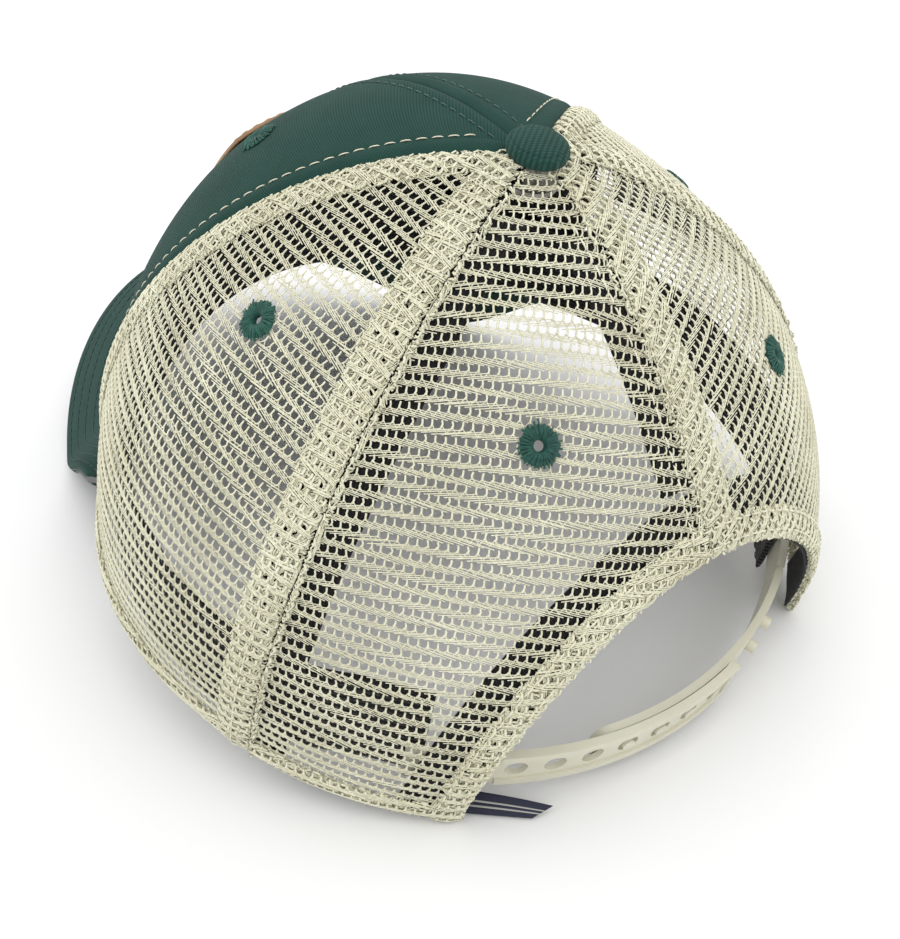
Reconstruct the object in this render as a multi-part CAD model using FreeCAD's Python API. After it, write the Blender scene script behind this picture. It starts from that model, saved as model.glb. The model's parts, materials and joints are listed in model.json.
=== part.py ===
import FreeCAD, Part
import math
import os
from FreeCAD import Vector

# Six-panel trucker cap: two twill front panels, four mesh panels, a curved visor and a plastic
# snap strap across the rear opening.  Millimetres.  The shapes are drawn in the crown's own frame,
# where the hem lies in the plane z = 0, the visor points to -Y and the wearer's left is +X.
# At the end everything is tilted back into the position in which an empty cap lies on a table.

# ---------------------------------------------------------------- driving dimensions
HALF_WIDTH = 97.0            # hem ellipse, across
FRONT_LENGTH = 96.0          # hem ellipse, centre to forehead
BACK_LENGTH = 98.5           # hem ellipse, centre to the back of the head
CROWN_HEIGHT = 109.5
FRONT_FULLNESS = 2.38        # 2 is a round profile, less is more pointed
SIDE_FULLNESS = 1.80
BACK_FULLNESS = 1.64
CROWN_BULGE = 0.035
FRONT_PINCH = 0.05           # how far the visor's ends draw the hem in, as a part of its width
PINCH_FADE = 1.3             # how quickly that dies away towards the top
FRONT_RISE = 8.0             # how far the visor's curve lifts the hem at the forehead
VISOR_SPREAD = 64.0          # degrees of the hem, each side of the front, that carry the visor
REST_TILT = 13.4             # degrees that the crown leans back when the cap lies on a table
TOP_HOLE = 0.045             # size of the hole at the top, as a part of the hem ellipse

FRONT_SEAM = -90.0
FRONT_SIDE_SEAM = 54.5       # degrees from the front seam to each front and side seam
REAR_SEAM = 90.0
REAR_SIDE_SEAM = 65.0        # degrees from the rear seam to each side and rear seam
PANEL_GAP = 0.1              # degrees left between neighbouring panels

MESH_THICKNESS = 1.0
TWILL_THICKNESS = 0.9
BACKING_DEPTH = (1.05, 1.85)
REAR_TAPE_DEPTH = (1.15, 1.9)
FRONT_TAPE_DEPTH = (2.0, 2.8)
TAPE_HALF_WIDTH = 8.0
PATCH_DEPTH = (-1.6, -0.2)
PATCH_SPREAD = 21.0          # degrees each side of the front seam
PATCH_LEVELS = (0.14, 0.44)  # lower and upper edge, as values of s

ARCH_HALF_WIDTH = 56.0
ARCH_HEIGHT = 58.0
ARCH_ROUNDNESS = 1.9
ARCH_TAPE_WIDTH = 12.0
ARCH_TAPE_INSET = 0.3
ARCH_TAPE_FEET = (2.0, 178.0)    # where the binding starts and ends round the opening, degrees
TAPE_TOP = 0.26              # where the front tapes stop, as a part of the hem ellipse
REAR_TAPE_TOP = 0.2

SWEATBAND_HEIGHT = 32.0
SWEATBAND_THICKNESS = 1.4
SWEATBAND_ENDS = (-228.0, 48.0)
SWEATBAND_DEPTH = 4.0
SWEATBAND_END_DEPTH = 9.6    # beside the strap's sewn ends
SWEATBAND_END_FLAT = 6.0     # degrees beside each end that keep the full depth
SWEATBAND_END_FADE = 20.0    # degrees over which the depth then changes
HEM_INSET = 1.0              # from the hem up to the pieces sewn inside it

VISOR_HALF_WIDTH = 86.0
VISOR_ROOT_Y = -44.0
VISOR_REACH = 112.0
VISOR_OUTLINE = 1.08
VISOR_FRONT_DROP = 31.36
VISOR_SIDE_DROP = 16.0
VISOR_ARCH = 3.0
VISOR_SEAM_HEIGHT = 3.2
VISOR_TIP = 86.0             # degrees of the outline at which the visor's tips are cut off
VISOR_TIP_FADE = 0.86        # part of the half width beyond which the drop fades away
VISOR_SIDE_POWER = 1.9
VISOR_ROOT_GAP = 0.4
BOARD_EDGE = 0.985           # the board ends just inside the covers' edge
COVER_THICKNESS = 0.8
BOARD_THICKNESS = 2.0
LAYER_GAP = 0.1

STRAP_CENTRE_Y = -5.5
STRAP_BOTTOM = 6.0
STRAP_TOP = 18.5
RIM_WIDTH = 2.2
HOLE_PLATE = (95.3, 96.7)    # inner and outer radius
HOLE_RIM_RADIUS = 97.4
PEG_PLATE = (93.0, 95.0)
PEG_RADIUS = 1.6
PEG_TOP_RADIUS = 97.2
PEG_TIP_RADIUS = 4.5         # rounding of the peg half's free end
HOLE_RADIUS = 2.7
SNAP_PITCH = 5.55            # degrees between neighbouring holes or pegs
FIRST_HOLE = -6.5
FIRST_PEG = -23.15
SNAP_COUNT = 7
STRAP_HINGE = 31.2           # degrees from the rear seam to each sewn end
RIM_SETBACK = 1.9            # degrees from the bending line to the rims
END_RIM_ANGLE = 0.8          # degrees taken by the rim across the free end
PEG_INSET = 0.6              # the peg half is a little lower than the hole half, each side
TAB_CLEARANCE = 0.35
HOLE_STRAP_END = -9.8
PEG_STRAP_END = 15.5
TAB_END = 42.0

LABEL_CORNERS = (            # from the hem's corner at rest: both ends of the lower, then the upper edge
    (-0.9, -0.6, 0.85),
    (-12.6, 9.7, 0.85),
    (-6.0, -1.6, 3.7),
    (-17.5, 11.1, 3.1),
)
LABEL_THICKNESS = 0.6
LABEL_BELLY = 0.3

BUTTON_RADIUS = 7.0
BUTTON_HEIGHT = 4.4
BUTTON_LIFT = 0.2
BUTTON_EDGE = 0.3            # thickness of the button's turned edge
RIVET_DEPTH = 6.6
RIVET_FLANGE_RADIUS = 6.2
RIVET_FLANGE_HEIGHT = 1.2
RIVET_POST_RADIUS = 2.0
RIVET_GAP = 0.05
EYELET_HOLE = 1.35
EYELET_RADIUS = 4.6
EYELET_SLEEVE = 3.5
EYELET_FLANGE = (0.3, 0.9)   # lower and upper face of the ring above the cloth
EYELET_EDGE_SLOPE = 0.4
EYELET_HOLE_LIP = 0.6
EYELET_FRONT_FOOT = -2.1     # the front rings also pass through the backing
EYELET_MESH_FOOT = -1.2
EYELET_CLEARANCE = 0.1
EYELET_DRILL = 8.0
EYELETS = {
    "eyelet_front_left": (-61.0, 0.55),
    "eyelet_side_left": (-7.0, 0.55),
    "eyelet_rear_left": (57.5, 0.57),
    "eyelet_rear_right": (131.0, 0.52),
    "eyelet_side_right": (187.0, 0.55),
    "eyelet_front_right": (-119.0, 0.55),
}


# ---------------------------------------------------------------- the crown's surface
def fullness(t):
    """Exponent of the profile in direction t, blended between front, side and back."""
    front_back = math.sin(math.radians(t))
    weight = front_back ** 2
    end = BACK_FULLNESS if front_back > 0 else FRONT_FULLNESS
    return SIDE_FULLNESS + (end - SIDE_FULLNESS) * weight


def crown_surface(t, s):
    """Point of the outer face: t is the direction in degrees, s runs from hem (0) to top (1)."""
    power = 2.0 / fullness(t)
    angle = s * math.pi / 2
    spread = max(math.cos(angle), 0.0) ** power
    rise = math.sin(angle) ** power
    spread *= 1.0 + CROWN_BULGE * math.sin(math.pi * rise)
    side = math.cos(math.radians(t))
    back = math.sin(math.radians(t))
    if back < 0:
        drawn_in = FRONT_PINCH * math.sin(math.radians(2 * t)) ** 2
        spread *= 1.0 - drawn_in * (1.0 - rise) ** PINCH_FADE
    length = BACK_LENGTH if back > 0 else FRONT_LENGTH
    return Vector(HALF_WIDTH * side * spread, length * back * spread, CROWN_HEIGHT * rise)


def crown_normal(t, s):
    """Outward unit normal of the crown."""
    s = min(max(s, 0.015), 0.985)
    across = crown_surface(t + 0.2, s) - crown_surface(t - 0.2, s)
    up = crown_surface(t, s + 0.004) - crown_surface(t, s - 0.004)
    return across.cross(up).normalize()


def crown_point(t, s, depth=0.0):
    """Point at a depth under the outer face; a negative depth is outside it."""
    return crown_surface(t, s) - crown_normal(t, s) * depth


def level_at_height(t, z):
    """Value of s where the crown reaches height z."""
    ratio = min(max(z / CROWN_HEIGHT, 0.0), 1.0)
    return math.asin(ratio ** (fullness(t) / 2)) * 2 / math.pi


def level_at_spread(t, spread):
    """Value of s where the crown has shrunk to a given part of the hem ellipse."""
    return math.acos(spread ** (fullness(t) / 2)) * 2 / math.pi


def hem_rise(t):
    """Height of the hem: flat at the sides and back, lifted over the forehead."""
    away = abs((t - FRONT_SEAM + 180.0) % 360.0 - 180.0)
    if away >= VISOR_SPREAD:
        return 0.0
    return FRONT_RISE * math.cos(math.radians(90.0 * away / VISOR_SPREAD)) ** 2


def find_on_crown(x, z):
    """Direction and level of the point at the back of the crown that has the given x and z."""
    t = 75.0
    for _ in range(40):
        s = level_at_height(t, z)
        spread = crown_surface(t, s).x / (HALF_WIDTH * math.cos(math.radians(t)))
        wanted = min(max(abs(x) / (HALF_WIDTH * spread), 0.0), 1.0)
        t = 0.5 * t + 0.5 * min(math.degrees(math.acos(wanted)), 89.999)
    return (t if x >= 0 else 180.0 - t), level_at_height(t, z)


def arch_edge(angle, margin=0.0):
    """Point (t, s) of the rear opening's edge; angle 0 is the wearer's left foot, 90 the top."""
    side = math.cos(math.radians(angle))
    up = math.sin(math.radians(angle))
    power = 2.0 / ARCH_ROUNDNESS
    x = (ARCH_HALF_WIDTH + margin) * math.copysign(abs(side) ** power, side)
    z = (ARCH_HEIGHT + margin) * up ** power
    return find_on_crown(x, z)


# ---------------------------------------------------------------- solids from surfaces
def spread_out(first, last, count):
    return [first + (last - first) * i / (count - 1) for i in range(count)]


def spline_face(rows):
    surface = Part.BSplineSurface()
    surface.interpolate(rows)
    return surface


def slab(outer_rows, inner_rows):
    """Closed solid between two grids of points that have the same layout."""
    outer = spline_face(outer_rows)
    inner = spline_face(inner_rows)
    faces = [outer.toShape(), inner.toShape()]
    u_first, u_last, v_first, v_last = outer.bounds()
    iu_first, iu_last, iv_first, iv_last = inner.bounds()
    for mine, other in ((u_first, iu_first), (u_last, iu_last)):
        faces.append(Part.makeRuledSurface(outer.uIso(mine).toShape(), inner.uIso(other).toShape()))
    for mine, other in ((v_first, iv_first), (v_last, iv_last)):
        faces.append(Part.makeRuledSurface(outer.vIso(mine).toShape(), inner.vIso(other).toShape()))
    shell = Part.makeShell(faces)
    shell.sewShape()
    solid = Part.makeSolid(shell)
    if solid.Volume < 0:
        solid.reverse()
    return solid


def crown_slab(columns, depth, rows=16):
    """Layer of the crown.  A column is a lower and an upper point (t, s); depth is (outer, inner)."""
    grids = []
    for level in depth:
        grid = []
        for (low_t, low_s), (high_t, high_s) in columns:
            row = []
            for share in spread_out(0.0, 1.0, rows):
                t = low_t + (high_t - low_t) * share
                s = low_s + (high_s - low_s) * share
                row.append(crown_point(t, s, level))
            grid.append(row)
        grids.append(grid)
    return slab(*grids)


def top_level(t):
    return level_at_spread(t, TOP_HOLE)


# ---------------------------------------------------------------- panels
def side_columns(first, last, count=13, lift=0.0):
    columns = []
    for t in spread_out(first + PANEL_GAP, last - PANEL_GAP, count):
        low = level_at_height(t, hem_rise(t) + lift)
        columns.append(((t, low), (t, top_level(t))))
    return columns


def rear_columns():
    """Columns of the wearer's left rear panel: along the hem, then up round the opening."""
    seam = REAR_SEAM - REAR_SIDE_SEAM + PANEL_GAP
    last = REAR_SEAM - PANEL_GAP
    foot = arch_edge(0.0)[0]
    lower = [(t, 0.0) for t in spread_out(seam, foot, 9)]
    for angle in spread_out(0.0, 90.0, 15)[1:]:
        t, s = arch_edge(angle)
        lower.append((min(t, last), s))
    upper = [(t, top_level(t)) for t in spread_out(seam, last, len(lower))]
    return list(zip(lower, upper))


def mirrored(shape):
    return shape.mirror(Vector(0, 0, 0), Vector(1, 0, 0))


def make_panels():
    left_seam = FRONT_SEAM + FRONT_SIDE_SEAM
    rear_seam = REAR_SEAM - REAR_SIDE_SEAM
    left = {
        "front_{}_panel": crown_slab(side_columns(FRONT_SEAM, left_seam), (0.0, TWILL_THICKNESS)),
        "front_{}_backing": crown_slab(side_columns(FRONT_SEAM, left_seam, lift=HEM_INSET), BACKING_DEPTH),
        "side_{}_mesh": crown_slab(side_columns(left_seam, rear_seam), (0.0, MESH_THICKNESS)),
        "rear_{}_mesh": crown_slab(rear_columns(), (0.0, MESH_THICKNESS)),
    }
    pieces = {}
    for name, shape in left.items():
        pieces[name.format("left")] = shape
        pieces[name.format("right")] = mirrored(shape)
    return pieces


# ---------------------------------------------------------------- tapes, sweatband and patch
def seam_tape(seam, low, high, depth):
    """Strip of constant width behind a seam, from level low to level high."""
    grids = []
    for level in depth:
        grid = []
        for across in spread_out(-TAPE_HALF_WIDTH, TAPE_HALF_WIDTH, 5):
            row = []
            for s in spread_out(low, high, 16):
                centre = crown_surface(seam, s)
                radius = math.hypot(centre.x, centre.y)
                row.append(crown_point(seam + math.degrees(across / radius), s, level))
            grid.append(row)
        grids.append(grid)
    return slab(*grids)


def make_tapes():
    left_seam = FRONT_SEAM + FRONT_SIDE_SEAM
    rear_seam = REAR_SEAM - REAR_SIDE_SEAM
    front_low = level_at_height(FRONT_SEAM, FRONT_RISE + HEM_INSET)
    left_low = level_at_height(left_seam, hem_rise(left_seam) + 3.0 * HEM_INSET)
    rear_low = level_at_height(rear_seam, HEM_INSET)
    arch_low = level_at_height(REAR_SEAM, ARCH_HEIGHT + ARCH_TAPE_WIDTH + HEM_INSET)
    front = seam_tape(FRONT_SEAM, front_low, level_at_spread(FRONT_SEAM, TAPE_TOP), FRONT_TAPE_DEPTH)
    left = seam_tape(left_seam, left_low, level_at_spread(left_seam, TAPE_TOP), FRONT_TAPE_DEPTH)
    rear_left = seam_tape(rear_seam, rear_low, level_at_spread(rear_seam, REAR_TAPE_TOP), REAR_TAPE_DEPTH)
    rear = seam_tape(REAR_SEAM, arch_low, level_at_spread(REAR_SEAM, REAR_TAPE_TOP), REAR_TAPE_DEPTH)
    return {
        "tape_front": front,
        "tape_front_left": left,
        "tape_front_right": mirrored(left),
        "tape_rear_left": rear_left,
        "tape_rear_right": mirrored(rear_left),
        "tape_rear": rear,
    }


def make_arch_tape():
    grids = []
    for level in REAR_TAPE_DEPTH:
        grid = []
        for angle in spread_out(*ARCH_TAPE_FEET, 33):
            row = []
            for margin in spread_out(ARCH_TAPE_INSET, ARCH_TAPE_WIDTH, 4):
                t, s = arch_edge(angle, margin)
                row.append(crown_point(t, s, level))
            grid.append(row)
        grids.append(grid)
    return slab(*grids)


def smooth_step(value):
    value = min(max(value, 0.0), 1.0)
    return value * value * (3.0 - 2.0 * value)


def sweatband_depth(t):
    """The band lies close to the panels, and leaves room for the strap's sewn ends at the back."""
    nearest = min(abs(t - SWEATBAND_ENDS[0]), abs(t - SWEATBAND_ENDS[1]))
    extra = SWEATBAND_END_DEPTH - SWEATBAND_DEPTH
    return SWEATBAND_DEPTH + extra * smooth_step(1.0 + (SWEATBAND_END_FLAT - nearest) / SWEATBAND_END_FADE)


def make_sweatband():
    grids = []
    for layer in (0.0, SWEATBAND_THICKNESS):
        grid = []
        for t in spread_out(SWEATBAND_ENDS[0], SWEATBAND_ENDS[1], 48):
            low = level_at_height(t, hem_rise(t) + HEM_INSET)
            high = level_at_height(t, hem_rise(t) + SWEATBAND_HEIGHT)
            depth = sweatband_depth(t) + layer
            grid.append([crown_point(t, s, depth) for s in spread_out(low, high, 6)])
        grids.append(grid)
    return slab(*grids)


def make_patch():
    """Patch sewn over the front seam, a little narrower at its top."""
    columns = []
    for t in spread_out(FRONT_SEAM - PATCH_SPREAD, FRONT_SEAM + PATCH_SPREAD, 15):
        columns.append(((t, PATCH_LEVELS[0]), (t, PATCH_LEVELS[1])))
    return crown_slab(columns, PATCH_DEPTH, rows=8)


# ---------------------------------------------------------------- visor
def visor_root(angle):
    """Where the visor meets the crown, just outside the hem."""
    t = FRONT_SEAM + angle * VISOR_SPREAD / 90.0
    rise = hem_rise(t) + VISOR_SEAM_HEIGHT
    root = crown_point(t, level_at_height(t, rise), -VISOR_ROOT_GAP)
    root.z = rise
    return root


def visor_surface(angle, v):
    """Top face of the visor: angle -90..90 goes along the outline, v from the hem to the edge."""
    root = visor_root(angle)
    side = math.sin(math.radians(angle))
    ahead = math.cos(math.radians(angle))
    drop = VISOR_FRONT_DROP + VISOR_SIDE_DROP * abs(side) ** VISOR_SIDE_POWER
    tip = max(0.0, (abs(side) - VISOR_TIP_FADE) / (1.0 - VISOR_TIP_FADE))
    edge = Vector(
        VISOR_HALF_WIDTH * side,
        VISOR_ROOT_Y - VISOR_REACH * ahead ** VISOR_OUTLINE,
        VISOR_SEAM_HEIGHT - drop * (1.0 - min(tip, 1.0) ** 2),
    )
    point = root + (edge - root) * v
    point.z += VISOR_ARCH * math.sin(math.pi * v) * ahead
    return point


def visor_normal(angle, v):
    angle = min(max(angle, -84.0), 84.0)
    along = visor_surface(angle + 1.0, v) - visor_surface(angle - 1.0, v)
    ahead = visor_surface(angle, v + 0.02) - visor_surface(angle, v - 0.02)
    return ahead.cross(along).normalize()


def visor_layer_point(angle, v, depth):
    """Point at a depth under the visor's top face, kept clear of the crown along the root."""
    t = FRONT_SEAM + angle * VISOR_SPREAD / 90.0
    level = level_at_height(t, hem_rise(t))
    outward = crown_normal(t, level)
    outward.z = 0.0
    outward.normalize()
    moved_back = (visor_normal(angle, 0.0) * depth).dot(outward)
    return visor_surface(angle, v) - visor_normal(angle, v) * depth + outward * moved_back * (1.0 - v)


def visor_slab(depth, edge):
    """Layer of the visor between two depths, out to the given share of the outline."""
    grids = []
    for level in depth:
        grid = []
        for angle in spread_out(-VISOR_TIP, VISOR_TIP, 41):
            row = []
            for v in spread_out(0.0, edge, 8):
                row.append(visor_layer_point(angle, v, level))
            grid.append(row)
        grids.append(grid)
    return slab(*grids)


def make_visor():
    board_top = COVER_THICKNESS + LAYER_GAP
    board_bottom = board_top + BOARD_THICKNESS
    bottom_top = board_bottom + LAYER_GAP
    return {
        "visor_top_cover": visor_slab((0.0, COVER_THICKNESS), 1.0),
        "visor_board": visor_slab((board_top, board_bottom), BOARD_EDGE),
        "visor_bottom_cover": visor_slab((bottom_top, bottom_top + COVER_THICKNESS), 1.0),
    }


# ---------------------------------------------------------------- button and eyelets
def revolved(profile):
    """Solid of revolution about Z from a closed outline of (radius, height) points."""
    points = [Vector(radius, 0, height) for radius, height in profile]
    face = Part.Face(Part.makePolygon(points + points[:1]))
    return face.revolve(Vector(0, 0, 0), Vector(0, 0, 1), 360)


def make_button():
    base = CROWN_HEIGHT + BUTTON_LIFT
    sphere_radius = (BUTTON_RADIUS ** 2 + BUTTON_HEIGHT ** 2) / (2 * BUTTON_HEIGHT)
    ball = Part.makeSphere(sphere_radius, Vector(0, 0, base + BUTTON_HEIGHT - sphere_radius))
    keep = Part.makeCylinder(BUTTON_RADIUS - BUTTON_EDGE, 2 * BUTTON_HEIGHT, Vector(0, 0, base))
    cap = ball.common(keep)
    underside = CROWN_HEIGHT - RIVET_DEPTH
    flange_top = underside + RIVET_FLANGE_HEIGHT
    flange = Part.makeCylinder(RIVET_FLANGE_RADIUS, RIVET_FLANGE_HEIGHT, Vector(0, 0, underside))
    post = Part.makeCylinder(RIVET_POST_RADIUS, base - RIVET_GAP - flange_top, Vector(0, 0, flange_top))
    return {"button": cap, "button_rivet": flange.fuse(post).removeSplitter()}


def eyelet_placement(t, s):
    normal = crown_normal(t, s)
    turn = FreeCAD.Rotation(Vector(0, 0, 1), normal)
    return FreeCAD.Placement(crown_surface(t, s), turn)


def make_eyelets(pieces):
    """Stitched rings, each set into a round hole that is cut through the panel and its backing."""
    hosts = {}
    rings = {}
    for name, (t, s) in EYELETS.items():
        place = eyelet_placement(t, s)
        position = name.replace("eyelet_", "")
        is_front = position.startswith("front")
        foot = EYELET_FRONT_FOOT if is_front else EYELET_MESH_FOOT
        under, over = EYELET_FLANGE
        ring = revolved([
            (EYELET_HOLE, foot), (EYELET_SLEEVE, foot), (EYELET_SLEEVE, under), (EYELET_RADIUS, under),
            (EYELET_RADIUS - EYELET_EDGE_SLOPE, over), (EYELET_HOLE + EYELET_EDGE_SLOPE, over),
            (EYELET_HOLE, EYELET_HOLE_LIP),
        ])
        ring.Placement = place
        rings[name] = ring
        drill_foot = Vector(0, 0, -EYELET_DRILL / 2)
        drill = Part.makeCylinder(EYELET_SLEEVE + EYELET_CLEARANCE, EYELET_DRILL, drill_foot)
        drill.Placement = place
        targets = [position + "_panel", position + "_backing"] if is_front else [position + "_mesh"]
        for target in targets:
            hosts[target] = drill
    for target, drill in hosts.items():
        pieces[target] = pieces[target].cut(drill)
    pieces.update(rings)


# ---------------------------------------------------------------- snap strap
def strap_point(angle, radius, z):
    """Point on the strap's circle: angle 0 is the rear seam, positive to the wearer's left."""
    turn = math.radians(angle)
    return Vector(radius * math.sin(turn), STRAP_CENTRE_Y + radius * math.cos(turn), z)


def strap_sector(first, last, radii, bottom, top):
    """Curved bar between two angles and two radii."""
    inner, outer = radii
    corners = [strap_point(first, inner, bottom), strap_point(last, inner, bottom)]
    corners += [strap_point(last, outer, bottom), strap_point(first, outer, bottom)]
    middle = (first + last) / 2
    edges = [
        Part.Arc(corners[0], strap_point(middle, inner, bottom), corners[1]).toShape(),
        Part.makeLine(corners[1], corners[2]),
        Part.Arc(corners[2], strap_point(middle, outer, bottom), corners[3]).toShape(),
        Part.makeLine(corners[3], corners[0]),
    ]
    return Part.Face(Part.Wire(edges)).extrude(Vector(0, 0, top - bottom))


def radial_cylinder(angle, radius, start, end, z):
    foot = strap_point(angle, start, z)
    direction = strap_point(angle, end, z) - foot
    return Part.makeCylinder(radius, end - start, foot, direction)


def knuckle(angle, radii, bottom, top):
    """Rounded end of a strap about its bending line."""
    middle = (radii[0] + radii[1]) / 2
    half = (radii[1] - radii[0]) / 2
    return Part.makeCylinder(half, top - bottom, strap_point(angle, middle, bottom))


def snap_angles(first):
    return [first + SNAP_PITCH * i for i in range(SNAP_COUNT)]


def make_hole_strap():
    middle = (STRAP_BOTTOM + STRAP_TOP) / 2
    rim_end = STRAP_HINGE - RIM_SETBACK
    rim_radii = (HOLE_PLATE[0], HOLE_RIM_RADIUS)
    strap = strap_sector(HOLE_STRAP_END, STRAP_HINGE, HOLE_PLATE, STRAP_BOTTOM, STRAP_TOP)
    low_rim = strap_sector(HOLE_STRAP_END, rim_end, rim_radii, STRAP_BOTTOM, STRAP_BOTTOM + RIM_WIDTH)
    high_rim = strap_sector(HOLE_STRAP_END, rim_end, rim_radii, STRAP_TOP - RIM_WIDTH, STRAP_TOP)
    end_rim = strap_sector(HOLE_STRAP_END, HOLE_STRAP_END + END_RIM_ANGLE, rim_radii, STRAP_BOTTOM, STRAP_TOP)
    root = knuckle(STRAP_HINGE, HOLE_PLATE, STRAP_BOTTOM, STRAP_TOP)
    strap = strap.fuse([low_rim, high_rim, end_rim, root]).removeSplitter()
    for angle in snap_angles(FIRST_HOLE):
        strap = strap.cut(radial_cylinder(angle, HOLE_RADIUS, HOLE_PLATE[0] - 2, HOLE_RIM_RADIUS + 2, middle))
    return strap


def rounded_end(strap, angle, radii, heights):
    """Strap with the two corners of its free end rounded."""
    middle = (radii[0] + radii[1]) / 2
    corners = [strap_point(angle, middle, height) for height in heights]
    edges = []
    for edge in strap.Edges:
        if min(edge.CenterOfMass.distanceToPoint(corner) for corner in corners) < 0.1:
            edges.append(edge)
    return strap.makeFillet(PEG_TIP_RADIUS, edges)


def make_peg_strap():
    middle = (STRAP_BOTTOM + STRAP_TOP) / 2
    bottom = STRAP_BOTTOM + PEG_INSET
    top = STRAP_TOP - PEG_INSET
    strap = strap_sector(-STRAP_HINGE, PEG_STRAP_END, PEG_PLATE, bottom, top)
    strap = rounded_end(strap, PEG_STRAP_END, PEG_PLATE, (bottom, top))
    strap = strap.fuse(knuckle(-STRAP_HINGE, PEG_PLATE, bottom, top))
    for angle in snap_angles(FIRST_PEG):
        strap = strap.fuse(radial_cylinder(angle, PEG_RADIUS, PEG_PLATE[1] - 0.5, PEG_TOP_RADIUS, middle))
    return strap.removeSplitter()


def make_tabs():
    """Sewn ends of the two straps, between the hem and the sweatband."""
    bottom = STRAP_BOTTOM + PEG_INSET
    top = STRAP_TOP - PEG_INSET
    hole_clear = math.degrees(((HOLE_PLATE[1] - HOLE_PLATE[0]) / 2 + TAB_CLEARANCE) / HOLE_PLATE[0])
    peg_clear = math.degrees(((PEG_PLATE[1] - PEG_PLATE[0]) / 2 + TAB_CLEARANCE) / PEG_PLATE[0])
    return {
        "hole_strap_tab": strap_sector(STRAP_HINGE + hole_clear, TAB_END, HOLE_PLATE, bottom, top),
        "peg_strap_tab": strap_sector(-TAB_END, -STRAP_HINGE - peg_clear, PEG_PLATE, bottom, top),
    }


def hinge_point(angle, radii):
    return strap_point(angle, (radii[0] + radii[1]) / 2, (STRAP_BOTTOM + STRAP_TOP) / 2)


# ---------------------------------------------------------------- resting position
def to_rest():
    """Placement that leans the crown back by REST_TILT."""
    return FreeCAD.Placement(Vector(0, 0, 0), FreeCAD.Rotation(Vector(1, 0, 0), -REST_TILT))


def make_label(foot):
    """Small woven label under the hem beside the opening, lying out on the table.

    foot is the hem's corner in the resting position; the label leans back from its lower edge."""
    low_start, low_end, high_start, high_end = (foot + Vector(*corner) for corner in LABEL_CORNERS)
    outer = []
    inner = []
    for along in spread_out(0.0, 1.0, 6):
        low = low_start + (low_end - low_start) * along
        high = high_start + (high_end - high_start) * along
        belly = Vector(0, 0, LABEL_BELLY * math.sin(math.pi * along))
        row = [low + (high - low) * up + belly * up for up in spread_out(0.0, 1.0, 4)]
        normal = (low_end - low_start).cross(high_start - low_start).normalize()
        outer.append(row)
        inner.append([point - normal * LABEL_THICKNESS for point in row])
    return slab(outer, inner)


def main():
    os.makedirs("parts", exist_ok=True)
    pieces = make_panels()
    pieces.update(make_tapes())
    pieces["arch_tape"] = make_arch_tape()
    pieces["sweatband"] = make_sweatband()
    pieces["front_patch"] = make_patch()
    pieces.update(make_visor())
    pieces.update(make_button())
    make_eyelets(pieces)
    pieces["hole_strap"] = make_hole_strap()
    pieces["peg_strap"] = make_peg_strap()
    pieces.update(make_tabs())

    lean = to_rest()
    for shape in pieces.values():
        shape.Placement = lean.multiply(shape.Placement)
    whole = Part.makeCompound(list(pieces.values())).optimalBoundingBox()
    foot_t = arch_edge(0.0)[0]
    foot = lean.multVec(crown_surface(foot_t, 0.0))
    pieces["woven_label"] = make_label(Vector(foot.x, foot.y, whole.ZMin))

    whole = Part.makeCompound(list(pieces.values())).optimalBoundingBox()
    shift = Vector(0, -(whole.YMin + whole.YMax) / 2, -whole.ZMin)
    for name, shape in pieces.items():
        moved = shape.copy()
        moved.translate(shift)
        if not moved.isValid() or moved.Volume <= 0:
            print("BAD", name, moved.isValid(), moved.Volume)
        moved.exportStep("parts/" + name + ".step")
        print(name, len(moved.Solids), round(moved.Volume, 1))
    print("box", whole.XMin, whole.XMax, whole.YMin + shift.y, whole.YMax + shift.y, whole.ZLength)
    print("crown origin", lean.multVec(Vector(0, 0, 0)) + shift)
    print("crown up", lean.multVec(Vector(0, 0, 1)))
    print("hole strap hinge", lean.multVec(hinge_point(STRAP_HINGE, HOLE_PLATE)) + shift)
    print("peg strap hinge", lean.multVec(hinge_point(-STRAP_HINGE, PEG_PLATE)) + shift)
    for name in ("visor_bottom_cover", "rear_left_mesh", "arch_tape", "hole_strap", "woven_label"):
        print("lowest", name, round(pieces[name].optimalBoundingBox().ZMin + shift.z, 3))


main()
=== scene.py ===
import json
import math

import bpy
import numpy as np
from mathutils import Matrix, Vector


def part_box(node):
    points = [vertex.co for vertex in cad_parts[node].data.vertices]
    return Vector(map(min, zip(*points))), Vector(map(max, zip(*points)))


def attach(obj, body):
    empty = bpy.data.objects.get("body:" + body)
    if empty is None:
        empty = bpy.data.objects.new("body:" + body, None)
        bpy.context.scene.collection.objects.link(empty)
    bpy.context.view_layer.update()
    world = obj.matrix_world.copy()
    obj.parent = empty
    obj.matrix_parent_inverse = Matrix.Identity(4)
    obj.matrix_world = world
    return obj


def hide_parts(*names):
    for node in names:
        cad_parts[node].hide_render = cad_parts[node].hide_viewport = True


# Trucker cap: twill front panels and visor, knitted mesh panels, plastic snap strap.
# The crown's surface is the CAD's formula, in millimetres, moved into the row frame at the end.

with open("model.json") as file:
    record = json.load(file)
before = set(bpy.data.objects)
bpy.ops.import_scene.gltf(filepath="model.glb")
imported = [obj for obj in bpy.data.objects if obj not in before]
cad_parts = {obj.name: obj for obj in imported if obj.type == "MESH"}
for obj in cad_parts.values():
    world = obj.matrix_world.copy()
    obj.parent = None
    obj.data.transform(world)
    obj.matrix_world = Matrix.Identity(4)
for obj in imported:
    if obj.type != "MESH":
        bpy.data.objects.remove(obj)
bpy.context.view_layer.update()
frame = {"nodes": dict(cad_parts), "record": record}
random = np.random.default_rng(7)

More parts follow.
